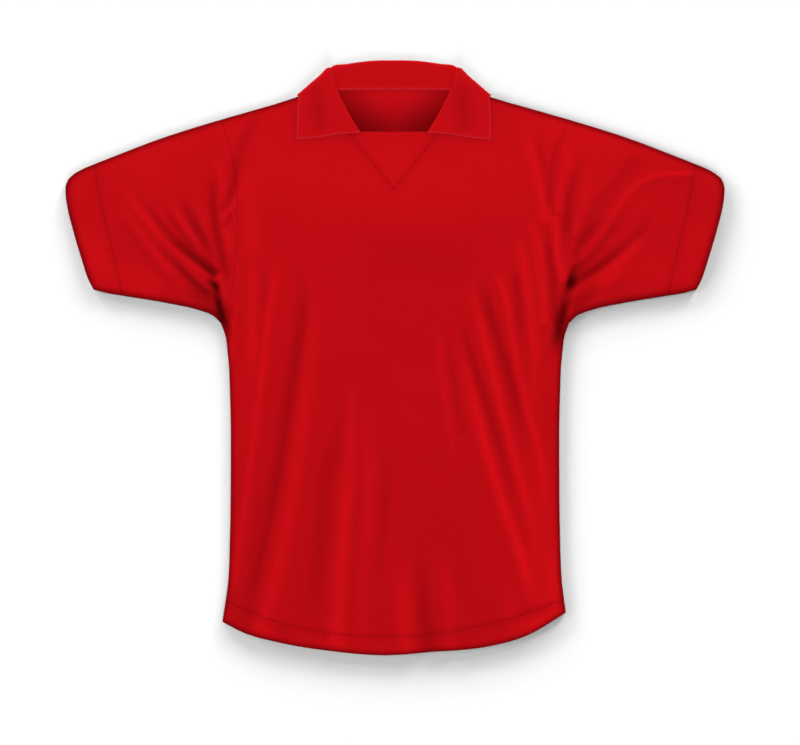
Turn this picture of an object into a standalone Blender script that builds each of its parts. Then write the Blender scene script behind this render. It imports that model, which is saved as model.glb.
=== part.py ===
"""Short-sleeved football jersey with a turned-down collar, laid flat on its back.

+X is to the right of someone who looks down at the front, +Y runs from hem to
collar, and the cloth rests on z = 0. Left and right are those of that viewer.
Every piece is a wall of cloth: a grid is laid over the plan of the cut piece,
raised to the height at which that layer lies, and thickened.
"""
import math
from collections import namedtuple

import bmesh
import bpy
import numpy as np

MM = 0.001
Point = namedtuple("Point", "x y")
Fold = namedtuple("Fold", "name start middle end left right height")
Section = namedtuple("Section", "foot fold edge foot_height stand_top edge_height radius over")

# ---------------------------------------------------------------- cloth
WALL = 1.2 * MM
COLLAR_WALL = 1.4 * MM
SEAM_GAP = 0.3 * MM

# ---------------------------------------------------------------- layers
# Heights are those of the middle of a wall.
BACK_LEVEL = WALL / 2
EDGE_RADIUS = 1.6 * MM          # the roll of the cloth at a folded edge
EDGE_CENTRE = BACK_LEVEL + EDGE_RADIUS
FRONT_LEVEL = 4.8 * MM          # the front, well inside the edges
LOFT_RUN = 26 * MM              # how far in from an edge the front reaches it
SEAM_PARTING = 0.35 * MM        # half the gap between front and back at a side seam
COLLAR_LIFT = 1.7 * MM          # the garment lies on the collar's back leaf
LIFT_MARGIN = 12 * MM           # full height reaches this far past the leaf
LIFT_RUN = 24 * MM              # and falls to nothing over this
LEAF_BACK_CENTRE_Y = 336.5 * MM
LEAF_BACK_RISE = 11.5 * MM
LEAF_HALF_WIDTH = 127.5 * MM

# ---------------------------------------------------------------- outlines
# In mm: x out from the middle line, the same on both halves, and y up from the
# middle of the garment's length. The hem alone runs across both halves.
HIGH_SHOULDER = Point(104.0, 355.5)
SHOULDER_LINE = (HIGH_SHOULDER, Point(138, 343.9), Point(185, 330.3), Point(232, 316.8))
SLEEVE_TOP_LINE = (Point(232, 316.8), Point(271, 305.0), Point(325, 287.0), Point(351, 277.0),
                   Point(400, 257.8))
CUFF_TOP_LINE = (Point(400, 257.8), Point(416, 251.0), Point(426, 245.4), Point(434, 238.4))
CUFF_OPEN_EDGE = (Point(434, 238.4), Point(437.8, 230), Point(438.2, 217), Point(435, 196),
                  Point(428.2, 169), Point(416.3, 129), Point(407.6, 103), Point(401, 90.2))
CUFF_SEAM = (Point(400, 257.8), Point(390, 198), Point(380, 159), Point(371, 118),
             Point(363.5, 82.4))
CUFF_UNDER_LINE = (Point(363.5, 82.4), Point(383, 85.6), Point(401, 90.2))
UNDERARM_LINE = (Point(232, 46), Point(241, 54.8), Point(263, 63.6), Point(300, 71.8),
                 Point(363.5, 82.4))
ARMHOLE = (Point(232, 316.8), Point(221.8, 284), Point(212.5, 240), Point(209.5, 188),
           Point(212.5, 130), Point(221, 76), Point(232, 46))
SIDE_LINE = (Point(232, 46), Point(226.6, 31), Point(222.8, 5), Point(219.6, -56),
             Point(218.8, -150), Point(219.8, -235), Point(222.5, -300))
HEM_LINE = (Point(-230, -351.5), Point(-200, -366.5), Point(-150, -380), Point(-80, -391),
            Point(-15, -396), Point(50, -391.5), Point(120, -385), Point(175, -370),
            Point(227.5, -339.5))
V_POINT = Point(0.0, 226.9)
V_SLOPE = HIGH_SHOULDER.x / (HIGH_SHOULDER.y - V_POINT.y)
BACK_NECK_Y = 356.2
INSERT_TOP_Y = 300.4
INSERT_TIP_HALF = 1.0

# ---------------------------------------------------------------- folds
# Where each fold's crest or bottom runs (mm, seen from the front), how far its
# two flanks reach, on the left and the right of that line, and how high it is.
FOLDS = (
    Fold("chest_left", Point(-144, 148), Point(-176, -56), Point(-209, -330), 17, 32, 1.8),
    Fold("flank_left", Point(-125, 135), Point(-158, -99), Point(-205, -338), 32, 17, 2.6),
    Fold("gully_left", Point(-105, 127), Point(-138, -107), Point(-184, -330), 15, 17, -1.5),
    Fold("belly_left", Point(-85, 103), Point(-113, -123), Point(-157, -365), 17, 35, 2.2),
    Fold("gully_low", Point(-60, -50), Point(-80, -203), Point(-108, -396), 24, 12, -1.5),
    Fold("mid_left", Point(-45, -3), Point(-56, -189), Point(-68, -423), 13, 12, 1.9),
    Fold("mid_thin", Point(-13, -50), Point(-21, -203), Point(-29, -376), 15, 13, 1.3),
    Fold("hem_mid", Point(23, -189), Point(27, -322), Point(31, -455), 16, 13, 2.2),
    Fold("hem_gully", Point(40, -209), Point(53, -322), Point(61, -455), 13, 13, -1.6),
    Fold("hem_right", Point(76, -216), Point(82, -322), Point(88, -455), 16, 16, 1.1),
    Fold("mid_right", Point(60, 103), Point(73, -36), Point(97, -183), 13, 13, 1.1),
    Fold("sash_low", Point(88, 47), Point(134, -130), Point(210, -360), 17, 15, 2.8),
    Fold("sash_mid", Point(98, 135), Point(150, -63), Point(219, -330), 17, 12, 2.6),
    Fold("sash_high", Point(134, 170), Point(173, -23), Point(227, -296), 16, 12, 2.6),
    Fold("yoke_right", Point(169, 337), Point(194, 236), Point(217, 122), 16, 11, 2.0),
    Fold("pit_right", Point(230, 114), Point(226, 70), Point(223, 10), 13, 7, -2.0),
    Fold("yoke_left", Point(-188, 324), Point(-207, 263), Point(-225, 199), 12, 11, -1.7),
    Fold("cuff_to_pit_left", Point(-387, 252), Point(-313, 176), Point(-233, 98), 12, 11, 3.0),
    Fold("under_left", Point(-360, 204), Point(-313, 132), Point(-243, 61), 27, 11, 2.4),
    Fold("upper_left", Point(-302, 223), Point(-271, 172), Point(-238, 117), 10, 10, 2.2),
    Fold("cap_left", Point(-258, 257), Point(-247, 196), Point(-230, 119), 11, 9, 1.9),
    Fold("pit_left", Point(-251, 109), Point(-237, 79), Point(-221, 23), 11, 8, -2.0),
    Fold("cap_right", Point(242, 295), Point(227, 223), Point(225, 143), 12, 10, 1.8),
    Fold("upper_right", Point(331, 279), Point(262, 226), Point(233, 143), 19, 16, 1.7),
    Fold("cuff_to_pit_right", Point(398, 249), Point(310, 203), Point(238, 119), 12, 16, 2.2),
    Fold("deep_right", Point(358, 212), Point(302, 162), Point(233, 111), 13, 12, 2.6),
    Fold("under_right", Point(363, 170), Point(310, 124), Point(251, 74), 12, 27, 2.4),
)
FOLD_FADE_IN = 0.35             # share of a fold's length over which it starts
FOLD_FADE_OUT = 0.30

# ---------------------------------------------------------------- collar
FOLD_LINE_FRONT = (Point(44.6, 298.7), Point(59.3, 325.3), Point(74.9, 354.6), Point(88.6, 383.2))
FOLD_LINE_BACK = (Point(81, 386.8), Point(65, 390.0), Point(28, 394.9), Point(0, 395.3))
SHOULDER_CORNER = Point(92.2, 385.7)     # where the fold line turns to the back
LEAF_SILHOUETTE = (Point(94.8, 385.4), Point(103.6, 370.2), Point(114.4, 359.8),
                   Point(127.7, 349.3))
STAND_FOOT = Point(104.6, 356.3)         # the stand's foot at the high shoulder
LEAF_POINT = Point(127.7, 292.6)         # the leaf's front corner
LEAF_END_BOW = 3.3                       # bow of the leaf's front edge, near the fold
LEAF_END_BOW_SHARE = 0.62                # and how much of the edge it takes
STAND_FRONT_Y = 301.4                    # the stand stops short of the insert
STAND_TOP_FRONT = 6.9 * MM
STAND_TOP_SHOULDER_BACK = 3.3 * MM
STAND_TOP_BACK = 4.7 * MM
STAND_BACK_RUN = 0.6                     # share of the back over which it rises
FOLD_RADIUS_FRONT = 2.0 * MM
LEAF_BULGE = 0.5 * MM
LEAF_CLEARANCE = (WALL + COLLAR_WALL) / 2 + 0.5 * MM
END_CUT_FADE = 4                         # how soon the cut of the front end dies out
END_BOW_FADE = 3
TURN_FADE = 3                            # how soon the turn at the shoulder does
LEAF_EDGE_STEP = 0.05                    # share of the silhouette read as its direction

# ---------------------------------------------------------------- mesh
FAR = 1.0                       # more than any distance in the garment (m)
WELD = 0.01 * MM                # points closer than this become one
EDGE_ROWS = (0.35 * MM, 1.7 * MM, 5.0 * MM, 12.0 * MM)
NECK_COLUMNS = (0.8 * MM, 2.0 * MM)
SHOULDER_COLUMNS = 9            # along a shoulder, the same on both sides of its seam
FRONT_NECK_COLUMNS = 7          # along half the neck
BACK_NECK_COLUMNS = 2
FRONT_ROWS = 12                 # along a side seam
BACK_ROWS = 6
SLEEVE_ROUND = 11               # along an armhole, the same on both sides of its seam
SLEEVE_ALONG = 8
CUFF_ALONG = 2
INSERT_GRID = 5
FRONT_STATIONS = 8
WRAP_ANGLES = (60, 30, 0, -30, -60)
BACK_STATIONS = 8
STAND_STEPS = 3
FOLD_ANGLES = (-90, -45, 0, 45, 90)
LEAF_STEPS = 4

RED = (0.515, 0.003, 0.006, 1.0)
COLLAR_RED = (0.500, 0.003, 0.006, 1.0)
CLOTH_ROUGHNESS = 0.72


# ================================================================ lines
def metres(points, side=1):
    """Table points as an array in metres; side -1 mirrors them."""
    return np.array([(side * p.x, p.y) for p in points]) * MM


class Line:
    """A smooth line through points, sampled closely and walked by share of its length."""

    def __init__(self, points, samples=24):
        points = np.asarray(points, float)
        chord = np.linalg.norm(np.diff(points, axis=0), axis=1)
        slope = np.diff(points, axis=0) / chord[:, None]
        tangent = np.empty_like(points)
        tangent[0], tangent[-1] = slope[0], slope[-1]
        before, after = chord[:-1, None], chord[1:, None]
        tangent[1:-1] = (slope[:-1] * after + slope[1:] * before) / (before + after)
        pieces = []
        for i, length in enumerate(chord):
            t = np.linspace(0, 1, samples, endpoint=False)[:, None]
            pieces.append((2 * t**3 - 3 * t**2 + 1) * points[i]
                          + (t**3 - 2 * t**2 + t) * length * tangent[i]
                          + (3 * t**2 - 2 * t**3) * points[i + 1]
                          + (t**3 - t**2) * length * tangent[i + 1])
        self.points = np.vstack(pieces + [points[-1:]])
        steps = np.linalg.norm(np.diff(self.points, axis=0), axis=1)
        self.length = steps.sum()
        self.share = np.concatenate([[0], np.cumsum(steps)]) / self.length

    def at(self, share):
        """Points at the given shares of the line's length."""
        return np.stack([np.interp(share, self.share, self.points[:, k]) for k in (0, 1)], axis=-1)

    def moved(self, distance):
        """The same line moved sideways, to its left as it is walked."""
        ahead = np.gradient(self.points, axis=0)
        ahead /= np.linalg.norm(ahead, axis=1)[:, None]
        sideways = np.stack([-ahead[:, 1], ahead[:, 0]], axis=1)
        return Line(self.points + distance * sideways, samples=1)

    def part(self, first=0.0, last=0.0):
        """The same line with first cut off its start and last off its end."""
        share = np.linspace(first / self.length, 1 - last / self.length, len(self.points))
        return Line(self.at(share), samples=1)

    def backwards(self):
        """The same line, walked from its end."""
        return Line(self.points[::-1], samples=1)

    def pinned(self, first, last):
        """The same line with its ends put on given points."""
        return Line(np.vstack([first, self.points[1:-1], last]), samples=1)


class Route:
    """Lines walked one after the other, each over its own part of 0 to 1."""

    def __init__(self, lines, breaks):
        self.lines = lines
        self.breaks = breaks

    def at(self, share):
        place = np.zeros(share.shape + (2,))
        for line, start, end in zip(self.lines, self.breaks[:-1], self.breaks[1:]):
            inside = (share >= start) & (share <= end)
            place[inside] = line.at((share[inside] - start) / (end - start))
        return place


def straight(start, end):
    return Line(np.array([start, end]), samples=12)


def smooth_step(value):
    value = np.clip(value, 0, 1)
    return value * value * (3 - 2 * value)


def outline(points, side, leftward):
    """A line of one half, moved to the left of the way it runs on the right half."""
    return Line(metres(points, side)).moved(side * leftward)


def folded_edges(side):
    """Lines where front and back meet, half a wall inside the outline that the eye sees."""
    half = WALL / 2
    corner = HEM_LINE[0] if side < 0 else HEM_LINE[-1]
    side_points = SIDE_LINE + (Point(abs(corner.x), corner.y),)
    return {
        "shoulder": outline(SHOULDER_LINE, side, -half),
        "sleeve_top": outline(SLEEVE_TOP_LINE, side, -half),
        "cuff_top": outline(CUFF_TOP_LINE, side, -half),
        "cuff_under": outline(CUFF_UNDER_LINE, side, half),
        "underarm": outline(UNDERARM_LINE, side, half),
        "side": outline(side_points, side, -half),
    }


EDGES = {-1: folded_edges(-1), 1: folded_edges(1)}


def edge_distance(plan):
    """How far each plan point lies from the nearest folded edge or side seam."""
    nearest = np.full(plan.shape[:-1], FAR)
    for edges in EDGES.values():
        for line in edges.values():
            starts, steps = line.points[:-1], np.diff(line.points, axis=0)
            for start, step in zip(starts, steps):
                away = plan - start
                along = np.clip((away @ step) / (step @ step), 0, 1)
                gap = np.linalg.norm(away - along[..., None] * step, axis=-1)
                nearest = np.minimum(nearest, gap)
    return nearest


# ================================================================ heights
def edge_roll(distance, parting):
    """Half the height between the two layers beside a folded edge."""
    inside = np.clip(EDGE_RADIUS - distance, 0, EDGE_RADIUS)
    rise = np.sqrt(EDGE_RADIUS**2 - inside**2) / EDGE_RADIUS
    return parting + (EDGE_RADIUS - parting) * rise


def collar_lift(plan):
    """How far the garment is raised where it lies on the collar's back leaf."""
    across = np.abs(plan[..., 0])
    leaf_edge = LEAF_BACK_CENTRE_Y + LEAF_BACK_RISE * (across / LEAF_HALF_WIDTH) ** 2
    reach = LIFT_MARGIN + LIFT_RUN
    lengthways = smooth_step((plan[..., 1] - leaf_edge + reach) / LIFT_RUN)
    crossways = smooth_step((LEAF_HALF_WIDTH + reach - across) / LIFT_RUN)
    return COLLAR_LIFT * lengthways * crossways


def fold_path(fold, steps=20):
    """The curve of a fold through its start, middle and end."""
    start, middle, end = metres((fold.start, fold.middle, fold.end))
    handle = 2 * middle - (start + end) / 2
    t = np.linspace(0, 1, steps + 1)[:, None]
    return (1 - t) ** 2 * start + 2 * t * (1 - t) * handle + t * t * end


def fold_height(plan, fold):
    """Height added by one fold: a soft ridge or trough that fades at both ends."""
    path = fold_path(fold)
    lengths = np.linalg.norm(np.diff(path, axis=0), axis=1)
    nearest = np.full(plan.shape[:-1], FAR)
    share = np.zeros(plan.shape[:-1])
    is_left = np.zeros(plan.shape[:-1], bool)
    walked = 0.0
    for start, step, length in zip(path[:-1], np.diff(path, axis=0), lengths):
        away = plan - start
        along = np.clip((away @ step) / length**2, 0, 1)
        gap = away - along[..., None] * step
        distance = np.linalg.norm(gap, axis=-1)
        closer = distance < nearest
        nearest = np.where(closer, distance, nearest)
        share = np.where(closer, (walked + along * length) / lengths.sum(), share)
        is_left = np.where(closer, gap[..., 0] * -step[1] + gap[..., 1] * step[0] < 0, is_left)
        walked += length
    reach = np.where(is_left, fold.left, fold.right) * MM
    profile = (1 - np.clip(nearest / reach, 0, 1) ** 2) ** 2
    fade = smooth_step(np.minimum(share / FOLD_FADE_IN, (1 - share) / FOLD_FADE_OUT))
    return fold.height * MM * profile * fade


def front_level(plan, distance):
    """Height of the upper layer's middle, before its edges roll down."""
    inside = distance - EDGE_RADIUS
    loft = (FRONT_LEVEL - EDGE_CENTRE - EDGE_RADIUS) * smooth_step(inside / LOFT_RUN)
    folds = sum(fold_height(plan, fold) for fold in FOLDS) * smooth_step(2 * inside / LOFT_RUN)
    return EDGE_CENTRE + EDGE_RADIUS + loft + folds + collar_lift(plan)


def front_height(plan, parting=0.0):
    """Middle of the upper layer: front panel, insert and upper sides of the sleeves."""
    distance = edge_distance(plan)
    return front_level(plan, distance) - EDGE_RADIUS + edge_roll(distance, parting)


def back_height(plan, parting=0.0):
    """Middle of the lower layer: back panel and undersides of the sleeves."""
    return EDGE_CENTRE - edge_roll(edge_distance(plan), parting) + collar_lift(plan)


# ================================================================ panels
def shares(breaks, counts, length):
    """Shares from 0 to 1 that hit every break, with close rows at both ends of the length."""
    values = []
    for start, end, count in zip(breaks[:-1], breaks[1:], counts):
        values.extend(np.linspace(start, end, count, endpoint=False)[1 if start == 0 else 0:])
    close = [row / length for row in EDGE_ROWS]
    return np.array([0.0, *close, *values, *(1 - row for row in reversed(close)), 1.0])


def patch(bottom, top, left, right, across, along):
    """Plan points of a four-sided piece, blended from its four edges."""
    u, v = across[None, :, None], along[:, None, None]
    low, high = bottom.at(across)[None], top.at(across)[None]
    first, last = left.at(along)[:, None], right.at(along)[:, None]
    corners = ((1 - u) * (1 - v) * low[:, :1] + u * (1 - v) * low[:, -1:]
               + (1 - u) * v * high[:, :1] + u * v * high[:, -1:])
    return (1 - v) * low + v * high + (1 - u) * first + u * last - corners


def new_object(name, points, wall, material, closed=False):
    """A grid whose rows and columns follow points, thickened to a wall of cloth."""
    rows, columns = points.shape[:2]
    mesh = bpy.data.meshes.new(name)
    sheet = bmesh.new()
    bmesh.ops.create_grid(sheet, x_segments=columns - 1, y_segments=rows - 1, size=1.0)
    places = sorted(sheet.verts, key=lambda v: (round(v.co.y, 6), round(v.co.x, 6)))
    for vertex, place in zip(places, points.reshape(-1, 3)):
        vertex.co = place
    if closed:
        bmesh.ops.remove_doubles(sheet, verts=sheet.verts, dist=WELD)
    bmesh.ops.recalc_face_normals(sheet, faces=sheet.faces)
    sheet.to_mesh(mesh)
    sheet.free()
    piece = bpy.data.objects.new(name, mesh)
    thicken = piece.modifiers.new("wall", "SOLIDIFY")
    thicken.thickness = wall
    thicken.offset = 0.0
    thicken.use_even_offset = True
    mesh.materials.append(material)
    garment.objects.link(piece)


def cloth_material(name, colour):
    material = bpy.data.materials.new(name)
    material.use_nodes = True
    surface = material.node_tree.nodes["Principled BSDF"]
    surface.inputs["Base Color"].default_value = colour
    surface.inputs["Roughness"].default_value = CLOTH_ROUGHNESS
    material.diffuse_color = colour
    return material


def raised(plan, height):
    return np.concatenate([plan, height[..., None]], axis=-1)


def armhole_stations():
    """Shares along an armhole from the shoulder down, used on both sides of its seam."""
    return shares((0, 1), (SLEEVE_ROUND,), Line(metres(ARMHOLE)).length)


def body_sides(side):
    """Shoulder line and side seam of the body, ending half a seam short of the sleeve."""
    edges = EDGES[side]
    return edges["shoulder"].part(last=SEAM_GAP / 2), edges["side"].part(first=SEAM_GAP / 2)


def side_route(side):
    """Side seam and then armhole, from the hem to the shoulder."""
    shoulder, seam = body_sides(side)
    armhole = outline(ARMHOLE, side, -SEAM_GAP / 2).pinned(shoulder.points[-1], seam.points[0])
    share = seam.length / (seam.length + armhole.length)
    return Route([seam.backwards(), armhole.backwards()], (0.0, share, 1.0))


def body_panel(name, neck_low, neck_columns, rows, height, material):
    """Front or back: hem below, side seams and armholes beside, shoulders and neck above."""
    left, right = side_route(-1), side_route(1)
    hem = Line(metres(HEM_LINE)).pinned(left.lines[0].points[0], right.lines[0].points[0])
    shoulders = [body_sides(side)[0] for side in (-1, 1)]
    neck = [straight(shoulders[0].points[0], neck_low), straight(neck_low, shoulders[1].points[0])]
    width = shoulders[1].points[-1, 0] - shoulders[0].points[-1, 0]
    reach = (width / 2 - HIGH_SHOULDER.x * MM) / width
    top = Route([shoulders[0].backwards(), *neck, shoulders[1]], (0, reach, 0.5, 1 - reach, 1))
    counts = (SHOULDER_COLUMNS, neck_columns, neck_columns, SHOULDER_COLUMNS)
    across = shares((0, reach, 0.5, 1 - reach, 1), counts, width)
    past_shoulder = np.array(NECK_COLUMNS) / neck[0].length * (0.5 - reach)
    across = np.sort([*across, *(reach + past_shoulder), *(1 - reach - past_shoulder)])
    armpit = left.breaks[1]
    seam_rows = np.linspace(0, armpit, rows, endpoint=False)
    armhole_rows = 1 - (1 - armpit) * armhole_stations()[::-1]
    plan = patch(hem, top, left, right, across, np.concatenate([seam_rows, armhole_rows]))
    new_object(name, raised(plan, height(plan, SEAM_PARTING)), WALL, material)


def front_panel(material):
    neck_low = np.array([V_POINT.x, V_POINT.y]) * MM - np.array([0, SEAM_GAP / 2])
    body_panel("front_panel", neck_low, FRONT_NECK_COLUMNS, FRONT_ROWS, front_height, material)


def back_panel(material):
    neck_low = np.array([0, BACK_NECK_Y * MM - SEAM_GAP / 2])
    body_panel("back_panel", neck_low, BACK_NECK_COLUMNS, BACK_ROWS, back_height, material)


def tube(name, top_edge, under_edge, start, end, along, material):
    """A flattened tube of cloth: the upper layer over the plan, the lower one back again."""
    plan = patch(start, end, top_edge, under_edge, armhole_stations(), along)
    upper = raised(plan, front_height(plan))
    lower = raised(plan, back_height(plan))
    for layer in (upper, lower):
        layer[:, (0, -1), 2] = EDGE_CENTRE
    ring = np.concatenate([upper, lower[:, ::-1][:, 1:]], axis=1)
    new_object(name, ring, WALL, material, closed=True)


def sleeve(side, material):
    name = "sleeve_left" if side < 0 else "sleeve_right"
    gap = SEAM_GAP / 2
    top_edge = EDGES[side]["sleeve_top"].part(gap, gap)
    under_edge = EDGES[side]["underarm"].part(gap, gap)
    start = outline(ARMHOLE, side, gap).pinned(top_edge.points[0], under_edge.points[0])
    end = outline(CUFF_SEAM, side, -gap).pinned(top_edge.points[-1], under_edge.points[-1])
    tube(name, top_edge, under_edge, start, end, np.linspace(0, 1, SLEEVE_ALONG + 1), material)


def cuff(side, material):
    name = "cuff_left" if side < 0 else "cuff_right"
    gap = SEAM_GAP / 2
    top_edge = EDGES[side]["cuff_top"].part(first=gap)
    under_edge = EDGES[side]["cuff_under"].part(first=gap)
    start = outline(CUFF_SEAM, side, gap).pinned(top_edge.points[0], under_edge.points[0])
    end = Line(metres(CUFF_OPEN_EDGE, side)).pinned(top_edge.points[-1], under_edge.points[-1])
    tube(name, top_edge, under_edge, start, end, np.linspace(0, 1, CUFF_ALONG + 1), material)


def insert(material):
    """The flat three-cornered piece that fills the bottom of the V, blunt at its tip."""
    inset = SEAM_GAP / 2 / MM * math.hypot(1, V_SLOPE)
    top_half = V_SLOPE * (INSERT_TOP_Y - V_POINT.y) - inset
    low_y = V_POINT.y + (INSERT_TIP_HALF + inset) / V_SLOPE
    corners = metres((Point(-INSERT_TIP_HALF, low_y), Point(INSERT_TIP_HALF, low_y),
                      Point(-top_half, INSERT_TOP_Y), Point(top_half, INSERT_TOP_Y)))
    step = np.linspace(0, 1, INSERT_GRID + 1)
    plan = patch(straight(corners[0], corners[1]), straight(corners[2], corners[3]),
                 straight(corners[0], corners[2]), straight(corners[1], corners[3]), step, step)
    new_object("neck_insert", raised(plan, front_height(plan)), WALL, material)


# ================================================================ collar
# The collar is one strip: a stand sewn to the neck, a fold, and a leaf turned down.
FOLD_FRONT = Line(metres(FOLD_LINE_FRONT))
FOLD_BACK = Line(metres((FOLD_LINE_FRONT[-1], *FOLD_LINE_BACK)))
SILHOUETTE = Line(metres(LEAF_SILHOUETTE))
LEAF_EDGE_FRONT = straight(*metres((LEAF_POINT, LEAF_SILHOUETTE[-1])))
FOOT_FRONT = straight(*metres((Point(V_SLOPE * (STAND_FRONT_Y - V_POINT.y), STAND_FRONT_Y),
                               HIGH_SHOULDER))).moved(SEAM_GAP / 2)


def unit(vector):
    return vector / np.linalg.norm(vector)


def collar_columns():
    """Across the strip: foot of the stand, up to the fold, round it, out to the leaf's edge."""
    stand = [("stand", q) for q in np.linspace(0, 1, STAND_STEPS, endpoint=False)]
    fold = [("fold", math.radians(angle)) for angle in FOLD_ANGLES]
    leaf = [("leaf", q) for q in np.linspace(0, 1, LEAF_STEPS + 1)[1:]]
    return stand + fold + leaf


def section_point(section, kind, value):
    """Plan point and height of one column in a section through the strip.

    The leaf turns over the stand in front (over = 1) and under it behind (over = -1).
    """
    foot, fold, edge, radius = section.foot, section.fold, section.edge, section.radius
    apex = unit(unit(fold - foot) + unit(fold - edge))
    start = fold - radius * apex
    leaf_top = section.stand_top + 2 * section.over * radius
    if kind == "stand":
        height = section.foot_height + value * (section.stand_top - section.foot_height)
        return foot + value * (start - foot), height
    if kind == "fold":
        height = section.stand_top + section.over * radius * (1 + math.sin(value))
        return start + radius * math.cos(value) * apex, height
    bulge = LEAF_BULGE * math.sin(math.pi * value) * (section.over > 0)
    return start + value * (edge - start), leaf_top + value * (section.edge_height - leaf_top) + bulge


def front_section(t):
    """Section t of the way from the collar's front end to the shoulder."""
    foot = FOOT_FRONT.at(t)
    edge = LEAF_EDGE_FRONT.at(t)
    return Section(foot, FOLD_FRONT.at(t), edge, front_level(foot, edge_distance(foot)),
                   STAND_TOP_FRONT, front_level(edge, edge_distance(edge)) + LEAF_CLEARANCE,
                   FOLD_RADIUS_FRONT, over=1)


def back_section(t):
    """Section t of the way from the shoulder to the middle of the back."""
    foot = np.array([STAND_FOOT.x * MM * (1 - t), BACK_NECK_Y * MM + SEAM_GAP / 2])
    edge = np.array([LEAF_HALF_WIDTH * (1 - t), LEAF_BACK_CENTRE_Y + LEAF_BACK_RISE * (1 - t) ** 2])
    rise = smooth_step(t / STAND_BACK_RUN) * (STAND_TOP_BACK - STAND_TOP_SHOULDER_BACK)
    stand_top = STAND_TOP_SHOULDER_BACK + rise
    return Section(foot, FOLD_BACK.at(t), edge, BACK_LEVEL + COLLAR_LIFT, stand_top,
                   COLLAR_WALL / 2, (stand_top - COLLAR_WALL / 2) / 2, over=-1)


def front_end_shift(kind, value, t):
    """How the strip's front end is cut: the stand set back, the leaf's edge bowed."""
    if kind == "leaf":
        bow = math.sin(math.pi * min(value / LEAF_END_BOW_SHARE, 1))
        return LEAF_END_BOW * MM * bow * (1 - t) ** END_BOW_FADE
    on_stand = value if kind == "stand" else (1 - math.sin(value)) / 2
    return (STAND_FRONT_Y - FOLD_LINE_FRONT[0].y) * MM * on_stand * (1 - t) ** END_CUT_FADE


def shoulder_turn(kind, value):
    """Outermost plan point of a column where the collar turns over the shoulder, and its way out."""
    foot = np.array(STAND_FOOT) * MM
    corner = np.array(SHOULDER_CORNER) * MM
    up = unit(corner - foot)
    stand_out = np.array([up[1], -up[0]])
    radius = (FOLD_RADIUS_FRONT + back_section(0).radius) / 2
    down = unit(SILHOUETTE.at(LEAF_EDGE_STEP) - SILHOUETTE.at(0.0))
    leaf_out = np.array([-down[1], down[0]])
    fold_out = unit(stand_out + leaf_out)
    apex = unit(up - down)
    centre = corner - radius * apex
    if kind == "stand":
        return foot + value * (centre - radius * fold_out - foot), stand_out
    if kind == "fold":
        turn = math.sin(value)
        way_out = unit(stand_out * (1 - turn) + leaf_out * (1 + turn))
        return centre + radius * (math.cos(value) * apex + turn * fold_out), way_out
    start = centre + radius * fold_out
    place = SILHOUETTE.at(value) + (1 - value) * (start - SILHOUETTE.points[0])
    ahead = unit(SILHOUETTE.at(min(value + LEAF_EDGE_STEP, 1.0))
                 - SILHOUETTE.at(value - LEAF_EDGE_STEP))
    return place, np.array([-ahead[1], ahead[0]])


def collar_column(kind, value):
    """One column of the strip: front run, half turn over the shoulder, back run."""
    front_steps = np.linspace(0, 1, FRONT_STATIONS + 1)
    back_steps = np.linspace(0, 1, BACK_STATIONS + 1)
    front = [section_point(front_section(t), kind, value) for t in front_steps]
    back = [section_point(back_section(t), kind, value) for t in back_steps]
    high, low = front[-1][1], back[0][1]
    radius = (high - low) / 2
    outermost, way_out = shoulder_turn(kind, value)
    centre = outermost - radius * way_out
    column = []
    for t, (place, height) in zip(front_steps, front):
        shift = np.array([0, front_end_shift(kind, value, t)])
        column.append((*(place + shift + t**TURN_FADE * (centre - front[-1][0])), height))
    for angle in WRAP_ANGLES:
        turn = math.radians(angle)
        place = centre + radius * math.cos(turn) * way_out
        column.append((*place, (high + low) / 2 + radius * math.sin(turn)))
    for t, (place, height) in zip(back_steps, back):
        column.append((*(place + (1 - t) ** TURN_FADE * (centre - back[0][0])), height))
    return column


def collar(material):
    columns = [collar_column(kind, value) for kind, value in collar_columns()]
    half = np.array(columns).transpose(1, 0, 2)
    mirrored = half[::-1][1:] * np.array([-1, 1, 1])
    new_object("collar", np.concatenate([half, mirrored]), COLLAR_WALL, material)


# ================================================================ garment
for old in list(bpy.data.objects):
    bpy.data.objects.remove(old, do_unlink=True)

garment = bpy.data.collections.new("football_jersey")
bpy.context.scene.collection.children.link(garment)

front_panel(cloth_material("front_cloth", RED))
back_panel(cloth_material("back_cloth", RED))
for garment_side, side_name in ((-1, "left"), (1, "right")):
    sleeve(garment_side, cloth_material(f"sleeve_{side_name}_cloth", RED))
    cuff(garment_side, cloth_material(f"cuff_{side_name}_cloth", RED))
insert(cloth_material("insert_cloth", RED))
collar(cloth_material("collar_knit", COLLAR_RED))
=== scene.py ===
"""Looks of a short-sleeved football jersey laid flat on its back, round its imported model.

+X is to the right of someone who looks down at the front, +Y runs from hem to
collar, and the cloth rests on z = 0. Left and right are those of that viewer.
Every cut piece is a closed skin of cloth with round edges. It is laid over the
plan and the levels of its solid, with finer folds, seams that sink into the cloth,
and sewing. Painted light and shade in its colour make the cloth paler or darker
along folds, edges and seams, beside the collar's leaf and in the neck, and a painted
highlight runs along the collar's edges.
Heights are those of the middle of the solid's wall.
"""
import math
from collections import namedtuple

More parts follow.
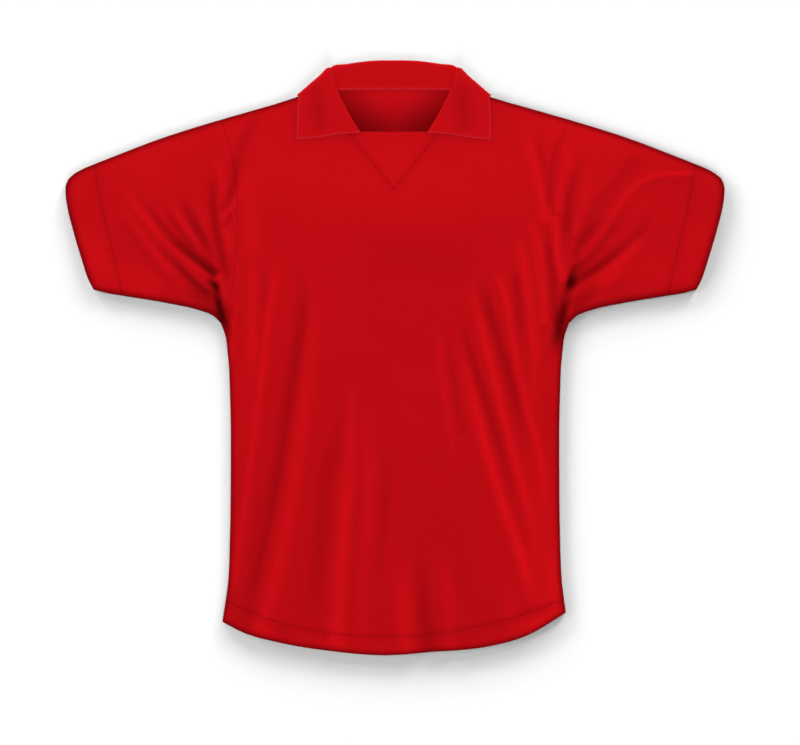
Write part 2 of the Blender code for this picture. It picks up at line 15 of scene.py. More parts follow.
import bpy
import numpy as np
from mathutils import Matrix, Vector


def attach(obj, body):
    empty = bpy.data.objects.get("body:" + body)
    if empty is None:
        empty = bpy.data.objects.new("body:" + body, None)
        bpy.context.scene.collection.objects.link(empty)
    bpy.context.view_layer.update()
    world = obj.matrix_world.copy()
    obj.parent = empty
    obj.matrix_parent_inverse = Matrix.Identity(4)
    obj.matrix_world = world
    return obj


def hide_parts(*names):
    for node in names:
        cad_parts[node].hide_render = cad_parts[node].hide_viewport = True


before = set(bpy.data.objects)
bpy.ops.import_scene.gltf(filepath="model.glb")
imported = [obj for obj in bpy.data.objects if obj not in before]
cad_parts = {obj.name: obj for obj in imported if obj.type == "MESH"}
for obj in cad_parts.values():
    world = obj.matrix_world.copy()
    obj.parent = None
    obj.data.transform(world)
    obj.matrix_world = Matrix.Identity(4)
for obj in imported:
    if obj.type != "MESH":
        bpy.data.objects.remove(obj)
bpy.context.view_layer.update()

MM = 0.001
Point = namedtuple("Point", "x y")
Fold = namedtuple("Fold", "name path left right height shade fade_in fade_out",
                  defaults=(0.35, 0.3))
Section = namedtuple("Section", "foot fold edge foot_height stand_top edge_height radius over")
Tube = namedtuple("Tube", "top under start end end_gap inward")
Thread = namedtuple("Thread", "pitch length radius")
Knit = namedtuple("Knit", "wale course depth")
Noise = namedtuple("Noise", "scale detail low high")
Shade = namedtuple("Shade", "dark reach")
Wash = namedtuple("Wash", "name azimuth elevation width level")

# ---------------------------------------------------------------- cloth
WALL = 1.2 * MM
COLLAR_WALL = 1.4 * MM
OUTWARD = WALL / 2              # from the middle out to the face that shows
INWARD = 0.35 * MM              # and in to the reverse of a single layer
DOUBLED = 0.6 * MM              # in to the reverse where the cloth is turned up
SEAM_GAP = 0.04 * MM
FLATS = {                       # what shows of each piece's cut, laid flat (m)
    "back_panel": (0.466, 0.754),
    "front_panel": (0.470, 0.754),
    "sleeve": (0.545, 0.195),
    "cuff": (0.365, 0.045),
    "neck_insert": (0.120, 0.075),
    "collar": (0.560, 0.105),
}

# ---------------------------------------------------------------- layers
BACK_LEVEL = WALL / 2
EDGE_RADIUS = 1.6 * MM          # the roll of the cloth at a folded edge
EDGE_CENTRE = BACK_LEVEL + EDGE_RADIUS
FRONT_LEVEL = 4.8 * MM          # the front, well inside the edges
LOFT_RUN = 26 * MM              # how far in from an edge the front reaches it
FOLD_RUN = LOFT_RUN / 2         # and over which folds and creases grow to their height
RELIEF_RUN = LOFT_RUN / 4       # and seams to their depth
SEAM_PARTING = 0.03 * MM        # half the gap between front and back at a side seam
LAYER_GAP = 0.15 * MM           # least room between the two layers
COLLAR_LIFT = 1.7 * MM          # the garment lies on the collar's back leaf
LIFT_MARGIN = 12 * MM           # full height reaches this far past the leaf
LIFT_RUN = 24 * MM              # and falls to nothing over this
LEAF_BACK_CENTRE_Y = 336.5 * MM
LEAF_BACK_RISE = 11.5 * MM
LEAF_HALF_WIDTH = 127.5 * MM

# ---------------------------------------------------------------- outlines
# In mm: x out from the middle line, the same on both halves, and y up from the
# middle of the garment's length. The hem and its stitching run across both halves.
HIGH_SHOULDER = Point(104.0, 355.5)
SHOULDER_LINE = (HIGH_SHOULDER, (138, 343.9), (185, 330.3), (232, 316.8))
SLEEVE_TOP_LINE = ((232, 316.8), (271, 305.0), (325, 287.0), (351, 277.0), (400, 257.8))
CUFF_TOP_LINE = ((400, 257.8), (416, 251.0), (426, 245.4), (434, 238.4))
CUFF_OPEN_EDGE = (
    (434, 238.4), (437.8, 230), (438.2, 217), (435, 196), (428.2, 169), (416.3, 129), (407.6, 103),
    (401, 90.2),
)
CUFF_SEAM = ((400, 257.8), (390, 198), (380, 159), (371, 118), (363.5, 82.4))
CUFF_UNDER_LINE = ((363.5, 82.4), (383, 85.6), (401, 90.2))
UNDERARM_LINE = ((232, 46), (241, 54.8), (263, 63.6), (300, 71.8), (363.5, 82.4))
ARMHOLE = (
    (232, 316.8), (221.8, 284), (212.5, 240), (209.5, 188), (212.5, 130), (221, 76), (232, 46),
)
SIDE_LINE = (
    (232, 46), (226.6, 31), (222.8, 5), (219.6, -56), (218.8, -150), (219.8, -235), (222.5, -300),
)
HEM_LINE = (
    (-230, -351.5), (-200, -366.5), (-150, -380), (-80, -391), (-15, -396), (50, -391.5),
    (120, -385), (175, -370), (227.5, -339.5),
)
HEM_STITCH_LINE = (
    (-220.5, -326.5), (-191.5, -339.7), (-158.3, -351.7), (-106.4, -363.6), (-55.9, -370.3),
    (-1.3, -371.8), (46.6, -369.3), (114.4, -357.3), (164.9, -344.3), (221.0, -323.7),
)
V_POINT = Point(0.0, 222.5)
V_SLOPE = HIGH_SHOULDER.x / (HIGH_SHOULDER.y - V_POINT.y)
BACK_NECK_Y = 356.2
INSERT_TOP_Y = 300.4
INSERT_TIP_HALF = 1.0

# ---------------------------------------------------------------- folds
# Where each fold's crest or bottom runs (mm, seen from the front), how far its two
# flanks reach, to the left and the right of that walk, how high it is (0 only paints),
# how much paler or darker its painted light and shade make the cloth, on ridges and in
# troughs, and the shares of its length over which it starts and ends. The back has low
# ones alone, which all start and end alike.
FRONT_FOLDS = [Fold(*row) for row in (
    # broad painted light and shade, where the cloth is a little paler or darker as a whole
    ("shoulder_pale_left", ((-350, 232), (-250, 285), (-157, 300)), 55, 55, 0, 0.03, 0.05, 0.18),
    ("shoulder_pale_right", ((339, 238), (250, 285), (159, 300)), 55, 55, 0, 0.07, 0.44, 0.28),
    ("yoke_pale", ((-193, 245), (0, 240), (190, 245)), 78, 78, 0, 0.08, 0.05, 0.05),
    ("hem_corner_right", ((130, -373), (170, -363), (224, -334)), 21, 20, 0, 0.29, 0.79, 0.05),
    ("hem_corner_left", ((-212, -344), (-180, -361), (-130, -374)), 20, 20, 0, -0.08, 0.07, 0.21),
    ("sleeve_pale_left", ((-411, 192), (-385, 110), (-309, 80)), 45, 40, 0, 0.14, 0.32, 0.05),
    ("sleeve_pale_right", ((416, 192), (389, 121), (310, 93)), 40, 46, 0, 0.06, 0.16, 0.05),
    ("flare_right", ((178, -60), (196, -190), (205, -338)), 41, 53, 0, 0.18, 0.73, 0.05),
    ("flare_left", ((-200, 98), (-196, -40), (-205, -191)), 32, 30, 0, 0.07, 0.5, 0.41),
    ("hem_pale_left", ((-196, -351), (-100, -382), (7, -389)), 46, 40, 0, 0.07, 0.05, 0.05),
    ("hem_pale_right", ((-3, -390), (100, -381), (201, -348)), 42, 40, 0, 0.02, 0.14, 0.05),
    ("low_pale_left", ((-170, -180), (-159, -260), (-160, -334)), 51, 50, 0, 0.03, 0.43, 0.15),
    ("low_pale_mid", ((-30, -199), (-1, -301), (42, -341)), 61, 62, 0, 0.04, 0.3, 0.24),
    ("chest_dim", ((-60, 125), (30, 134), (115, 125)), 50, 54, 0, -0.07, 0.39, 0.1),
    # left sleeve
    ("arm_ridge_left", ((-381, 240), (-368, 231), (-348, 208), (-316, 172), (-280, 140),
     (-241, 107)),
     8, 13, 1.8, 0.37, 0.6, 0.16),
    ("arm_gully_left", ((-356, 226), (-326, 190), (-299, 159), (-271, 135), (-234, 107)),
     12, 10, -2.2, -0.7, 0.8, 0.05),
    ("arm_low_gully_left", ((-337, 169), (-312, 145), (-288, 122), (-264, 98), (-235, 78)),
     6, 12, -1.6, -0.42, 0.74, 0.15),
    ("arm_band_left", ((-373, 206), (-352, 176), (-323, 140), (-292, 100)),
     11, 9, 1.0, 0.15, 0.4, 0.16),
    ("arm_hollow_left", ((-366, 192), (-348, 160), (-320, 122), (-291, 88)),
     14, 16, -1.0, -0.08, 0.26, 0.17),
    ("cap_gully_left", ((-289, 223), (-270, 182), (-255, 155), (-239, 113)),
     11, 11, -1.4, -0.34, 0.45, 0.39),
    ("cap_ridge_left", ((-301, 206), (-279, 172), (-261, 150), (-247, 130)),
     7, 4, 1.0, 0.12, 0.2, 0.14),
    ("cap_spot_left", ((-310, 200), (-303, 189), (-264, 139)), 7, 5, -0.8, -0.22, 0.34, 0.12),
    ("crown_gully_left", ((-241, 253), (-242, 205), (-236, 160), (-218, 89)),
     8, 10, -1.6, -0.34, 0.3, 0.24),
    ("crown_ridge_left", ((-240, 269), (-230, 226), (-229, 180), (-218, 134)),
     10, 6, 1.2, 0.12, 0.2, 0.05),
    ("crown_outer_left", ((-262, 208), (-255, 180), (-241, 145)), 4, 6, 0.8, 0.04, 0.4, 0.22),
    ("seam_gully_left", ((-209, 269), (-212, 240), (-219, 214), (-236, 185)),
     7, 11, -1.4, -0.26, 0.25, 0.19),
    ("nick_left", ((-209, 200), (-217, 190), (-231, 168)), 5, 5, -1.0, -0.21, 0.53, 0.19),
    ("nick_ridge_left", ((-200, 230), (-215, 201), (-228, 186)), 7, 6, 0.8, 0.1, 0.32, 0.21),
    ("pit_shade_left", ((-286, 102), (-248, 74), (-207, 42)), 20, 18, -0.5, -0.32, 0.42, 0.27),
    ("pit_spot_left", ((-257, 105), (-239, 96), (-238, 73)), 8, 10, -1.6, -0.9, 0.48, 0.49),
    ("pit_left", ((-237, 90), (-232, 60), (-221, 32), (-222, 9)), 9, 9, -2.4, -0.84, 0.21, 0.64),
    # right sleeve
    ("arm_ridge_right", ((402, 245), (374, 244), (347, 242), (323, 230), (299, 203), (270, 162),
     (239, 127)),
     13, 4, 1.8, 0.1, 0.05, 0.23),
    ("arm_upper_right", ((329, 275), (295, 234), (269, 200), (240, 146)),
     23, 9, -1.2, -0.1, 0.13, 0.05),
    ("cap_gully_right", ((279, 192), (255, 165), (232, 126)), 15, 6, -1.2, -0.23, 0.41, 0.18),
    ("arm_middle_right", ((318, 202), (296, 180), (274, 148), (240, 115)),
     12, 6, -1.0, -0.28, 0.8, 0.07),
    ("arm_fine_right", ((301, 166), (279, 147), (257, 125)), 7, 8, 0.8, 0.09, 0.36, 0.32),
    ("arm_gully_right", ((352, 219), (342, 188), (322, 161), (287, 131), (224, 88)),
     8, 11, -2.2, -0.45, 0.8, 0.07),
    ("arm_low_ridge_right", ((331, 158), (311, 140), (293, 115), (261, 87)),
     19, 14, 1.6, 0.18, 0.18, 0.27),
    ("pit_shade_right", ((272, 98), (258, 80), (229, 60)), 9, 19, -0.6, -0.27, 0.5, 0.24),
    ("crown_gully_right", ((260, 287), (245, 256), (233, 218), (229, 180), (227, 140)),
     11, 9, -1.6, -0.29, 0.72, 0.25),
    ("crown_ridge_right", ((236, 298), (230, 268), (223, 236), (214, 188)),
     14, 9, 1.2, 0.13, 0.4, 0.07),
    ("crown_outer_right", ((262, 262), (255, 229), (249, 199), (236, 157)),
     14, 6, 0.8, 0.09, 0.36, 0.05),
    ("seam_gully_right", ((227, 314), (213, 268), (207, 232), (207, 190)),
     4, 6, -1.4, -0.16, 0.43, 0.15),
    ("pit_ridge_right", ((209, 193), (213, 166), (215, 136), (227, 90)),
     11, 9, 1.6, 0.23, 0.12, 0.22),
    ("pit_inner_right", ((203, 176), (207, 136), (211, 104), (214, 40)),
     6, 10, -1.6, -0.25, 0.32, 0.06),
    ("pit_spot_right", ((246, 138), (233, 104), (227, 78)), 14, 7, -1.6, -0.9, 0.66, 0.38),
    ("pit_right", ((230, 106), (226, 68), (221, 46), (213, -5)), 10, 14, -2.4, -0.8, 0.47, 0.38),
    # chest
    ("yoke_left", ((-179, 328), (-199, 292), (-214, 250)), 14, 11, -1.2, -0.13, 0.3, 0.09),
    ("yoke_ridge_right", ((170, 335), (178, 294), (190, 244), (202, 173)),
     7, 15, 1.6, 0.21, 0.65, 0.05),
    ("yoke_gully_right", ((182, 300), (195, 268), (205, 233)), 7, 7, -1.0, -0.09, 0.38, 0.14),
    ("side_ridge_right", ((177, 187), (192, 142), (195, 104), (200, 39)),
     9, 11, 1.2, 0.18, 0.16, 0.05),
    ("side_gully_right", ((176, 167), (184, 138), (187, 113)), 8, 5, -0.6, 0.05, 0.39, 0.33),
    # right side of the body, from the armpit to the hem
    ("sash_top", ((158, 169), (170, 126), (176, 86), (182, 38), (188, -20)),
     13, 9, 1.4, 0.19, 0.22, 0.13),
    ("sash_top_gully", ((155, 131), (162, 98), (166, 56), (174, 1)),
     7, 10, -1.4, -0.2, 0.28, 0.45),
    ("sash_high", ((132, 121), (147, 72), (160, 0), (175, -66), (193, -134), (203, -223)),
     10, 8, 1.8, 0.2, 0.1, 0.24),
    ("sash_high_gully", ((113, 116), (126, 60), (147, -10), (164, -78), (178, -147)),
     11, 12, -1.8, -0.26, 0.21, 0.45),
    ("sash_mid", ((92, 114), (108, 58), (131, -28), (155, -124), (178, -210), (201, -300)),
     11, 9, 2.2, 0.26, 0.24, 0.41),
    ("sash_mid_gully", ((76, 82), (99, 8), (121, -60), (142, -132), (162, -200), (184, -276)),
     9, 9, -1.8, -0.23, 0.29, 0.62),
    ("sash_low", ((74, 48), (95, -28), (118, -112), (142, -194), (167, -266), (190, -354)),
     12, 13, 2.4, 0.31, 0.44, 0.24),
    ("sash_thin", ((56, 53), (62, -14), (71, -82), (85, -163)), 9, 9, 0.8, 0.1, 0.22, 0.22),
    ("sash_thin_gully", ((66, 43), (76, -20), (91, -110)), 8, 8, -0.8, -0.11, 0.51, 0.05),
    ("hip_ridge_right", ((204, -248), (212, -300), (214, -327)), 9, 14, 0.6, 0.12, 0.54, 0.07),
    # middle of the body, down to the hem
    ("hem_ridge_mid", ((9, -252), (12, -300), (16, -402)), 16, 19, 1.4, 0.25, 0.8, 0.05),
    ("hem_gully_mid", ((26, -229), (33, -282), (38, -336), (47, -398)),
     16, 14, -1.8, -0.18, 0.61, 0.05),
    ("hem_ridge_right", ((62, -253), (70, -320), (74, -398)), 17, 14, 1.0, 0.12, 0.37, 0.05),
    ("hem_gully_right", ((84, -258), (90, -306), (98, -372)), 9, 9, -0.8, 0, 0.4, 0.3),
    ("hem_soft_right", ((141, -285), (152, -326), (161, -368)), 20, 18, 0.6, 0.13, 0.45, 0.38),
    ("low_gully", ((-66, -76), (-86, -130), (-97, -220), (-106, -310), (-114, -372)),
     18, 16, -1.5, -0.13, 0.26, 0.38),
    ("mid_ridge", ((-56, -36), (-60, -128), (-68, -226), (-74, -320), (-77, -401)),
     18, 15, 2.0, 0.27, 0.53, 0.07),
    ("mid_soft_ridge", ((-29, -50), (-33, -160), (-43, -307)), 14, 16, 1.0, 0.16, 0.49, 0.36),
    ("mid_soft_gully", ((-10, -113), (-13, -196), (-25, -317)), 12, 9, -1.0, -0.09, 0.4, 0.29),
    # left side of the body
    ("edge_ridge_left", ((-209, 81), (-215, 44), (-219, -24)), 4, 4, 0.6, 0.22, 0.21, 0.28),
    ("side_ridge_left", ((-188, 143), (-190, 40), (-192, -39)), 10, 10, 1.0, 0.14, 0.25, 0.28),
    ("chest_hollow_left", ((-171, 125), (-178, 60)), 9, 6, -0.6, -0.09, 0.38, 0.26),
    ("chest_ridge_left", ((-150, 142), (-164, 76), (-177, -30), (-195, -166), (-217, -317)),
     10, 9, 1.6, 0.16, 0.15, 0.05),
    ("flank_gully_left", ((-126, 142), (-123, 66), (-138, -44), (-159, -176), (-179, -272),
     (-199, -353)),
     11, 16, -1.9, -0.23, 0.22, 0.12),
    ("belly_ridge_left", ((-98, 116), (-110, 30), (-124, -84), (-140, -196), (-158, -290),
     (-182, -374)),
     21, 12, 2.2, 0.18, 0.39, 0.05),
    # finer ones between them
    ("yoke_ridge_left", ((-192, 265), (-193, 200), (-190, 126)), 17, 17, 1.0, 0.12, 0.23, 0.11),
    ("mid_fine_ridge", ((-56, -19), (-58, -80), (-62, -151)), 8, 8, 0.8, 0.09, 0.31, 0.27),
    ("mid_fine_gully", ((-74, -57), (-75, -110), (-74, -161)), 9, 8, -0.6, -0.06, 0.22, 0.25),
    ("hem_ridge_left", ((-42, -255), (-45, -320), (-46, -389)), 17, 17, 0.8, 0.12, 0.37, 0.08),
    ("hem_fine_left", ((-86, -245), (-87, -300), (-88, -387)), 9, 7, 0.6, 0.09, 0.31, 0.05),
    ("flank_fine_gully", ((-174, -150), (-183, -220), (-198, -293)), 8, 8, -0.8, -0.1, 0.38, 0.2),
    ("sash_spot", ((183, 1), (184, -35), (186, -79)), 9, 8, 0.6, 0.11, 0.23, 0.29),
    ("hem_spot_left", ((-194, -351), (-176, -362), (-156, -365)), 10, 13, 0, 0.21, 0.38, 0.33),
    ("low_pale_right", ((115, -180), (125, -260), (130, -330)), 40, 40, 0, 0.06, 0.3, 0.28),
)]
BACK_FOLDS = [Fold(*row) for row in (
    ("blade_left", ((-118, 250), (-150, 118), (-192, -20)), 16, 12, 0.9, 0.05),
    ("blade_right", ((132, 236), (158, 108), (196, -10)), 12, 17, 1.0, 0.06),
    ("spine_high", ((-14, 212), (-22, 90), (-6, -62)), 14, 12, 0.7, 0.05),
    ("spine_low", ((6, -30), (16, -150), (10, -300)), 12, 15, 0.8, 0.05),
    ("loin_left", ((-92, 44), (-112, -108), (-146, -300)), 14, 19, 1.0, 0.06),
    ("loin_right", ((78, 20), (110, -122), (152, -312)), 17, 13, 0.9, 0.05),
    ("tail_left", ((-42, -108), (-50, -232), (-64, -396)), 12, 12, 0.9, 0.05),
    ("tail_right", ((40, -146), (52, -256), (70, -400)), 13, 11, 0.8, 0.05),
    ("hip_left", ((-168, -30), (-176, -160), (-192, -290)), 11, 13, 0.8, 0.04),
    ("hip_right", ((176, -60), (184, -180), (200, -318)), 12, 11, 0.9, 0.05),
    ("pit_back_left", ((-196, 150), (-206, 92), (-214, 12)), 10, 9, 0.7, 0.04),
    ("pit_back_right", ((198, 164), (208, 104), (214, 20)), 9, 10, 0.8, 0.05),
    ("sleeve_long_left", ((-386, 226), (-318, 162), (-240, 104)), 12, 12, 1.0, 0.06),
    ("sleeve_low_left", ((-352, 140), (-302, 112), (-246, 78)), 10, 14, 0.8, 0.05),
    ("sleeve_cap_left", ((-300, 262), (-266, 204), (-240, 142)), 10, 10, 0.8, 0.04),
    ("sleeve_long_right", ((392, 232), (312, 180), (240, 112)), 13, 12, 0.9, 0.05),
    ("sleeve_low_right", ((346, 150), (300, 116), (248, 82)), 11, 13, 0.9, 0.05),
    ("sleeve_cap_right", ((318, 268), (264, 214), (238, 150)), 12, 10, 0.8, 0.04),
)]
FOLD_SAMPLES = 5                # straight steps between two points of a fold's line
RIPPLE_WAVES = 14               # faint unevenness of cloth that lies free
RIPPLE_HEIGHT = 0.05 * MM
RIPPLE_LENGTHS = (45 * MM, 140 * MM)
RIPPLE_SEED = 7

# ---------------------------------------------------------------- seams
SEAM_DIP = 0.24 * MM            # cloth sinks into a seam
SEAM_DIP_REACH = 2.2 * MM
SEAM_SWELL = 0.22 * MM          # and stands a little proud beside it
SEAM_SWELL_AT = 5.0 * MM
SEAM_SWELL_REACH = 3.2 * MM
PUCKER_PITCH = 13 * MM          # the swelling comes and goes along the seam
PUCKER_BEAT = 47 * MM
PUCKER_SHARE = 0.7
HEM_DIP = 0.32 * MM             # the row of stitches pulls the hem in
HEM_DIP_REACH = 1.8 * MM
HEM_PLY_RUN = 1.5 * MM          # over which the turned-up layer ends
HEM_PLY = 0.20 * MM             # how much higher it makes the hem

# ---------------------------------------------------------------- collar
FOLD_LINE_FRONT = ((45.2, 297.8), (61.0, 325.3), (75.6, 354.6), (85.8, 385.0))
FOLD_LINE_BACK = ((81.5, 387.9), (65, 390.1), (28, 394.6), (0, 395.2))
SHOULDER_CORNER = Point(87.8, 384.0)     # where the fold line turns to the back
LEAF_SILHOUETTE = ((89.6, 382.2), (97.5, 374.3), (109.4, 364.6), (128.7, 348.9))
STAND_FOOT = Point(104.6, 356.3)         # the stand's foot at the high shoulder
LEAF_POINT = Point(129.2, 289.9)         # the leaf's front corner
LEAF_END_BOW = 0.8                       # the leaf's front edge runs up, then down by this
STAND_FRONT_Y = 301.4                    # the stand stops short of the insert
STAND_TOP_FRONT = 6.9 * MM
STAND_TOP_SHOULDER_BACK = 3.3 * MM
STAND_TOP_BACK = 4.7 * MM
STAND_BACK_RUN = 0.6                     # share of the back over which it rises
FOLD_RADIUS_FRONT = 2.0 * MM
LEAF_BULGE = 0.5 * MM
LEAF_CLEARANCE = (WALL + COLLAR_WALL) / 2 + 0.5 * MM
END_CUT_FADE = 4                         # how soon the cut of the front end dies out
END_BOW_FADE = 3
TURN_FADE = 3                            # how soon the turn at the shoulder does
CREST_TILT = 1.7                         # keeps the crest high where it turns
LEAF_EDGE_STEP = 0.05                    # share of the silhouette read as its direction
LEAF_OUTLINE_STEPS = 24

NECK_LEAN = 1.5 * MM                     # the whole neck sits this far to the left
NECK_LEAN_LOW = 185 * MM                 # the cloth round it follows, above this
NECK_LEAN_WIDE = 130 * MM                # and inside this
NECK_LEAN_RUN = 40 * MM

# ---------------------------------------------------------------- mesh
FAR = 1.0                       # more than any distance in the garment (m)
EDGE_REACH = 30 * MM            # distances from the edges matter up to here
ROLL_ANGLES = (15, 30, 45, 60, 75, 90)
EDGE_ROWS = (*(EDGE_RADIUS * (1 - math.cos(math.radians(a))) for a in ROLL_ANGLES),
             2.5 * MM, 4.0 * MM)
COLLAR_EDGE_ROWS = EDGE_ROWS[:5]         # those that the collar has along its edges
STRIP_RUN = 30 * MM             # about how wide the collar's stand and its leaf are
FRONT_STEP = 3.0 * MM
BACK_STEP = 4.6 * MM
SLEEVE_STEP = 2.6 * MM
INSERT_STEP = 4.0 * MM
ROUTE_SAMPLES = 400
COLLAR_STEPS = {"front": 26, "back": 34, "stand": 8, "fold": 12, "leaf": 22}
WRAP_ANGLES = (75, 60, 45, 30, 15, 0, -15, -30, -45, -60, -75)

# ---------------------------------------------------------------- sewing
HEM_THREAD = Thread(7.0 * MM, 4.8 * MM, 0.46 * MM)
SEAM_THREAD = Thread(3.4 * MM, 2.7 * MM, 0.24 * MM)
HEM_THREAD_INSET = 3 * MM       # from a side seam to the hem's first stitch
SEAM_THREAD_OFFSET = 2.2 * MM   # from the seam to the row that holds it flat
SEAM_THREAD_SPAN = (2 * MM, 92 * MM)     # from the V's tip to the row's start and end
THREAD_STAND = 0.45             # in radii: how far its middle stands out of the face
THREAD_PLUNGE = 1.3             # and how much deeper its ends are
THREAD_BLUNT = 1.04             # above 1, its ends stay a little round
THREAD_SIDES = 8
THREAD_RINGS = 7

# ---------------------------------------------------------------- colours
RED = (0.515, 0.0030, 0.0060, 1.0)
COLLAR_RED = (0.530, 0.0032, 0.0062, 1.0)
RIM_HIGHLIGHT_RED = (0.550, 0.0170, 0.0300, 1.0)   # painted highlight along the collar's edges
HEM_THREAD_RED = (0.31, 0.0020, 0.0036, 1.0)
SEAM_THREAD_RED = (0.44, 0.0026, 0.0050, 1.0)
CLOTH_KNIT = Knit(1.3 * MM, 1.1 * MM, 0.16 * MM)
COLLAR_KNIT = Knit(1.0 * MM, 0.9 * MM, 0.16 * MM)
KNIT_STRENGTH = 0.5                      # of its bump
NOISE_MIDDLE = (0.3, 0.7)                # the part of a noise that becomes its range
PATCHY = Noise(7.0, 3.0, 0.975, 1.025)   # how evenly the dye has taken
YARN = Noise(320.0, 2.0, 0.97, 1.03)
POLISH = Noise(90.0, 2.0, 0.64, 0.76)    # roughness
TWIST = Noise(900.0, 1.0, 0.80, 1.20)    # of the sewing thread
PAINTED_LOOP_SHADE = (0.10, 0.95)                 # painted shade in the knit's hollows: a loop's height times one, plus the other
SHINE_TINT = (1.0, 0.04, 0.05, 1.0)
CLOTH_SHINE = {
    "Specular IOR Level": 0.16,
    "Specular Tint": SHINE_TINT,
    "Sheen Weight": 0.06,
    "Sheen Roughness": 0.45,
    "Sheen Tint": (1.0, 0.08, 0.10, 1.0),
}
THREAD_SHINE = {"Roughness": 0.55, "Specular IOR Level": 0.2, "Specular Tint": SHINE_TINT}
FLOOR_FINISH = {                         # its grey reads white in the light it gets
    "Base Color": (0.300, 0.300, 0.300, 1.0),
    "Roughness": 0.9,
    "Specular IOR Level": 0.1,
}

# ---------------------------------------------------------------- painted light and shade
# Painted shade: how much darker the cloth is painted on a line, and how far from it this
# reaches (mm). The edges have one value for the left and one for the right of the garment.
EDGE_SHADES = {
    "shoulder": (0.62, 0.62, 4.2),
    "sleeve_top": (0.62, 0.66, 4.1),
    "cuff_top": (0.64, 0.68, 4.2),
    "cuff_open": (0.60, 0.62, 6.0),
    "cuff_under": (0.58, 0.58, 6.2),
    "underarm": (0.61, 0.61, 6.2),
    "side": (0.46, 0.58, 4.1),
}
# painted shade along the hem's edge
HEM_SHADE = Shade(0.62, 4.6)
# painted shade in the hem's row of stitches and in the seams; at the armholes a paler line is
# painted
HEM_STITCH_SHADE = Shade(0.12, 6.2)
ARMHOLE_SHADE = Shade(-0.05, 2.6)
CUFF_SEAM_SHADE = Shade(0.11, 5.0)
V_SHADE = Shade(0.075, 6.0)
LEAF_SHADE = Shade(0.07, 4.8)   # painted shadow on the cloth beside the collar's leaf
# painted shade under the back's neck seam
NECK_SEAM_SHADE = Shade(0.12, 3.0)
SHADE_END = 3                   # a shade is nothing this many reaches away
NECK_PAINTED_SHADE = 0.60                # painted shade on the reverse, beside the neck's front edge and folds
NECK_PAINTED_SHADE_RUN = 53 * MM
LEAF_BANDS = (                  # painted shade in bands where the leaf bends down over the shoulder
    Fold("leaf_left", ((-104, 372), (-101, 337), (-94, 294)), 17, 18, 0, -0.17, 0.3, 0.2),
    Fold("leaf_right", ((87, 374), (91, 337), (96, 294)), 21, 19, 0, -0.17, 0.3, 0.2),
)
RIM_HIGHLIGHT_REACH = 1.7 * MM            # of the painted highlight at the collar's edges


# ================================================================ lines
def metres(points, side=1):
    """Table points as an array in metres; side -1 mirrors them."""
    return np.array(points) * (side, 1) * MM


class Line:
    """A smooth line through points, sampled closely and walked by share of its length."""

    def __init__(self, points, samples=16):
        points = np.asarray(points, float)
        chord = np.linalg.norm(np.diff(points, axis=0), axis=1)
        slope = np.diff(points, axis=0) / chord[:, None]
        tangent = np.empty_like(points)
        tangent[0], tangent[-1] = slope[0], slope[-1]
        before, after = chord[:-1, None], chord[1:, None]
        tangent[1:-1] = (slope[:-1] * after + slope[1:] * before) / (before + after)
        pieces = []
        for i, length in enumerate(chord):
            t = np.linspace(0, 1, samples, endpoint=False)[:, None]
            pieces.append((2 * t**3 - 3 * t**2 + 1) * points[i]
                          + (t**3 - 2 * t**2 + t) * length * tangent[i]
                          + (3 * t**2 - 2 * t**3) * points[i + 1]
                          + (t**3 - t**2) * length * tangent[i + 1])
        self.points = np.vstack(pieces + [points[-1:]])
        steps = np.linalg.norm(np.diff(self.points, axis=0), axis=1)
        self.length = steps.sum()
        self.share = np.concatenate([[0], np.cumsum(steps)]) / self.length

    def at(self, share):
        """Points at the given shares of the line's length."""
        return np.stack([np.interp(share, self.share, axis) for axis in self.points.T], axis=-1)

    def moved(self, distance):
        """The same line moved sideways, to its left as it is walked."""
        ahead = np.gradient(self.points, axis=0)
        ahead /= np.linalg.norm(ahead, axis=1)[:, None]
        sideways = np.stack([-ahead[:, 1], ahead[:, 0]], axis=1)
        return Line(self.points + distance * sideways, samples=1)

    def part(self, first=0.0, last=0.0):
        """The same line with first cut off its start and last off its end."""
        share = np.linspace(first / self.length, 1 - last / self.length, len(self.points))
        return Line(self.at(share), samples=1)

    def backwards(self):
        """The same line, walked from its end."""
        return Line(self.points[::-1], samples=1)

    def pinned(self, first, last):
        """The same line with its ends put on given points."""
        return Line(np.vstack([first, self.points[1:-1], last]), samples=1)


class Route:
    """Lines walked one after the other, each over its own part of 0 to 1."""

    def __init__(self, lines, breaks):
        self.lines = lines
        self.breaks = breaks

    def at(self, share):
        place = np.zeros(share.shape + (2,))
        for line, start, end in zip(self.lines, self.breaks[:-1], self.breaks[1:]):
            inside = (share >= start) & (share <= end)
            place[inside] = line.at((share[inside] - start) / (end - start))
        return place


def straight(start, end):
    return Line(np.array([start, end]), samples=12)


def smooth_step(value):
    value = np.clip(value, 0, 1)
    return value * value * (3 - 2 * value)


def bell(distance, reach):
    return np.exp(-((distance / reach) ** 2))


def outline(points, side, leftward):
    """A line of one half, moved to the left of the way it runs on the right half."""
    return Line(metres(points, side)).moved(side * leftward)


def folded_edges(side):
    """Lines where front and back meet, half a wall inside the outline that the eye sees."""
    half = WALL / 2
    x, y = HEM_LINE[0 if side < 0 else -1]
    return {
        "shoulder": outline(SHOULDER_LINE, side, -half),
        "sleeve_top": outline(SLEEVE_TOP_LINE, side, -half),
        "cuff_top": outline(CUFF_TOP_LINE, side, -half),
        "cuff_under": outline(CUFF_UNDER_LINE, side, half),
        "underarm": outline(UNDERARM_LINE, side, half),
        "side": outline((*SIDE_LINE, (abs(x), y)), side, -half),
    }


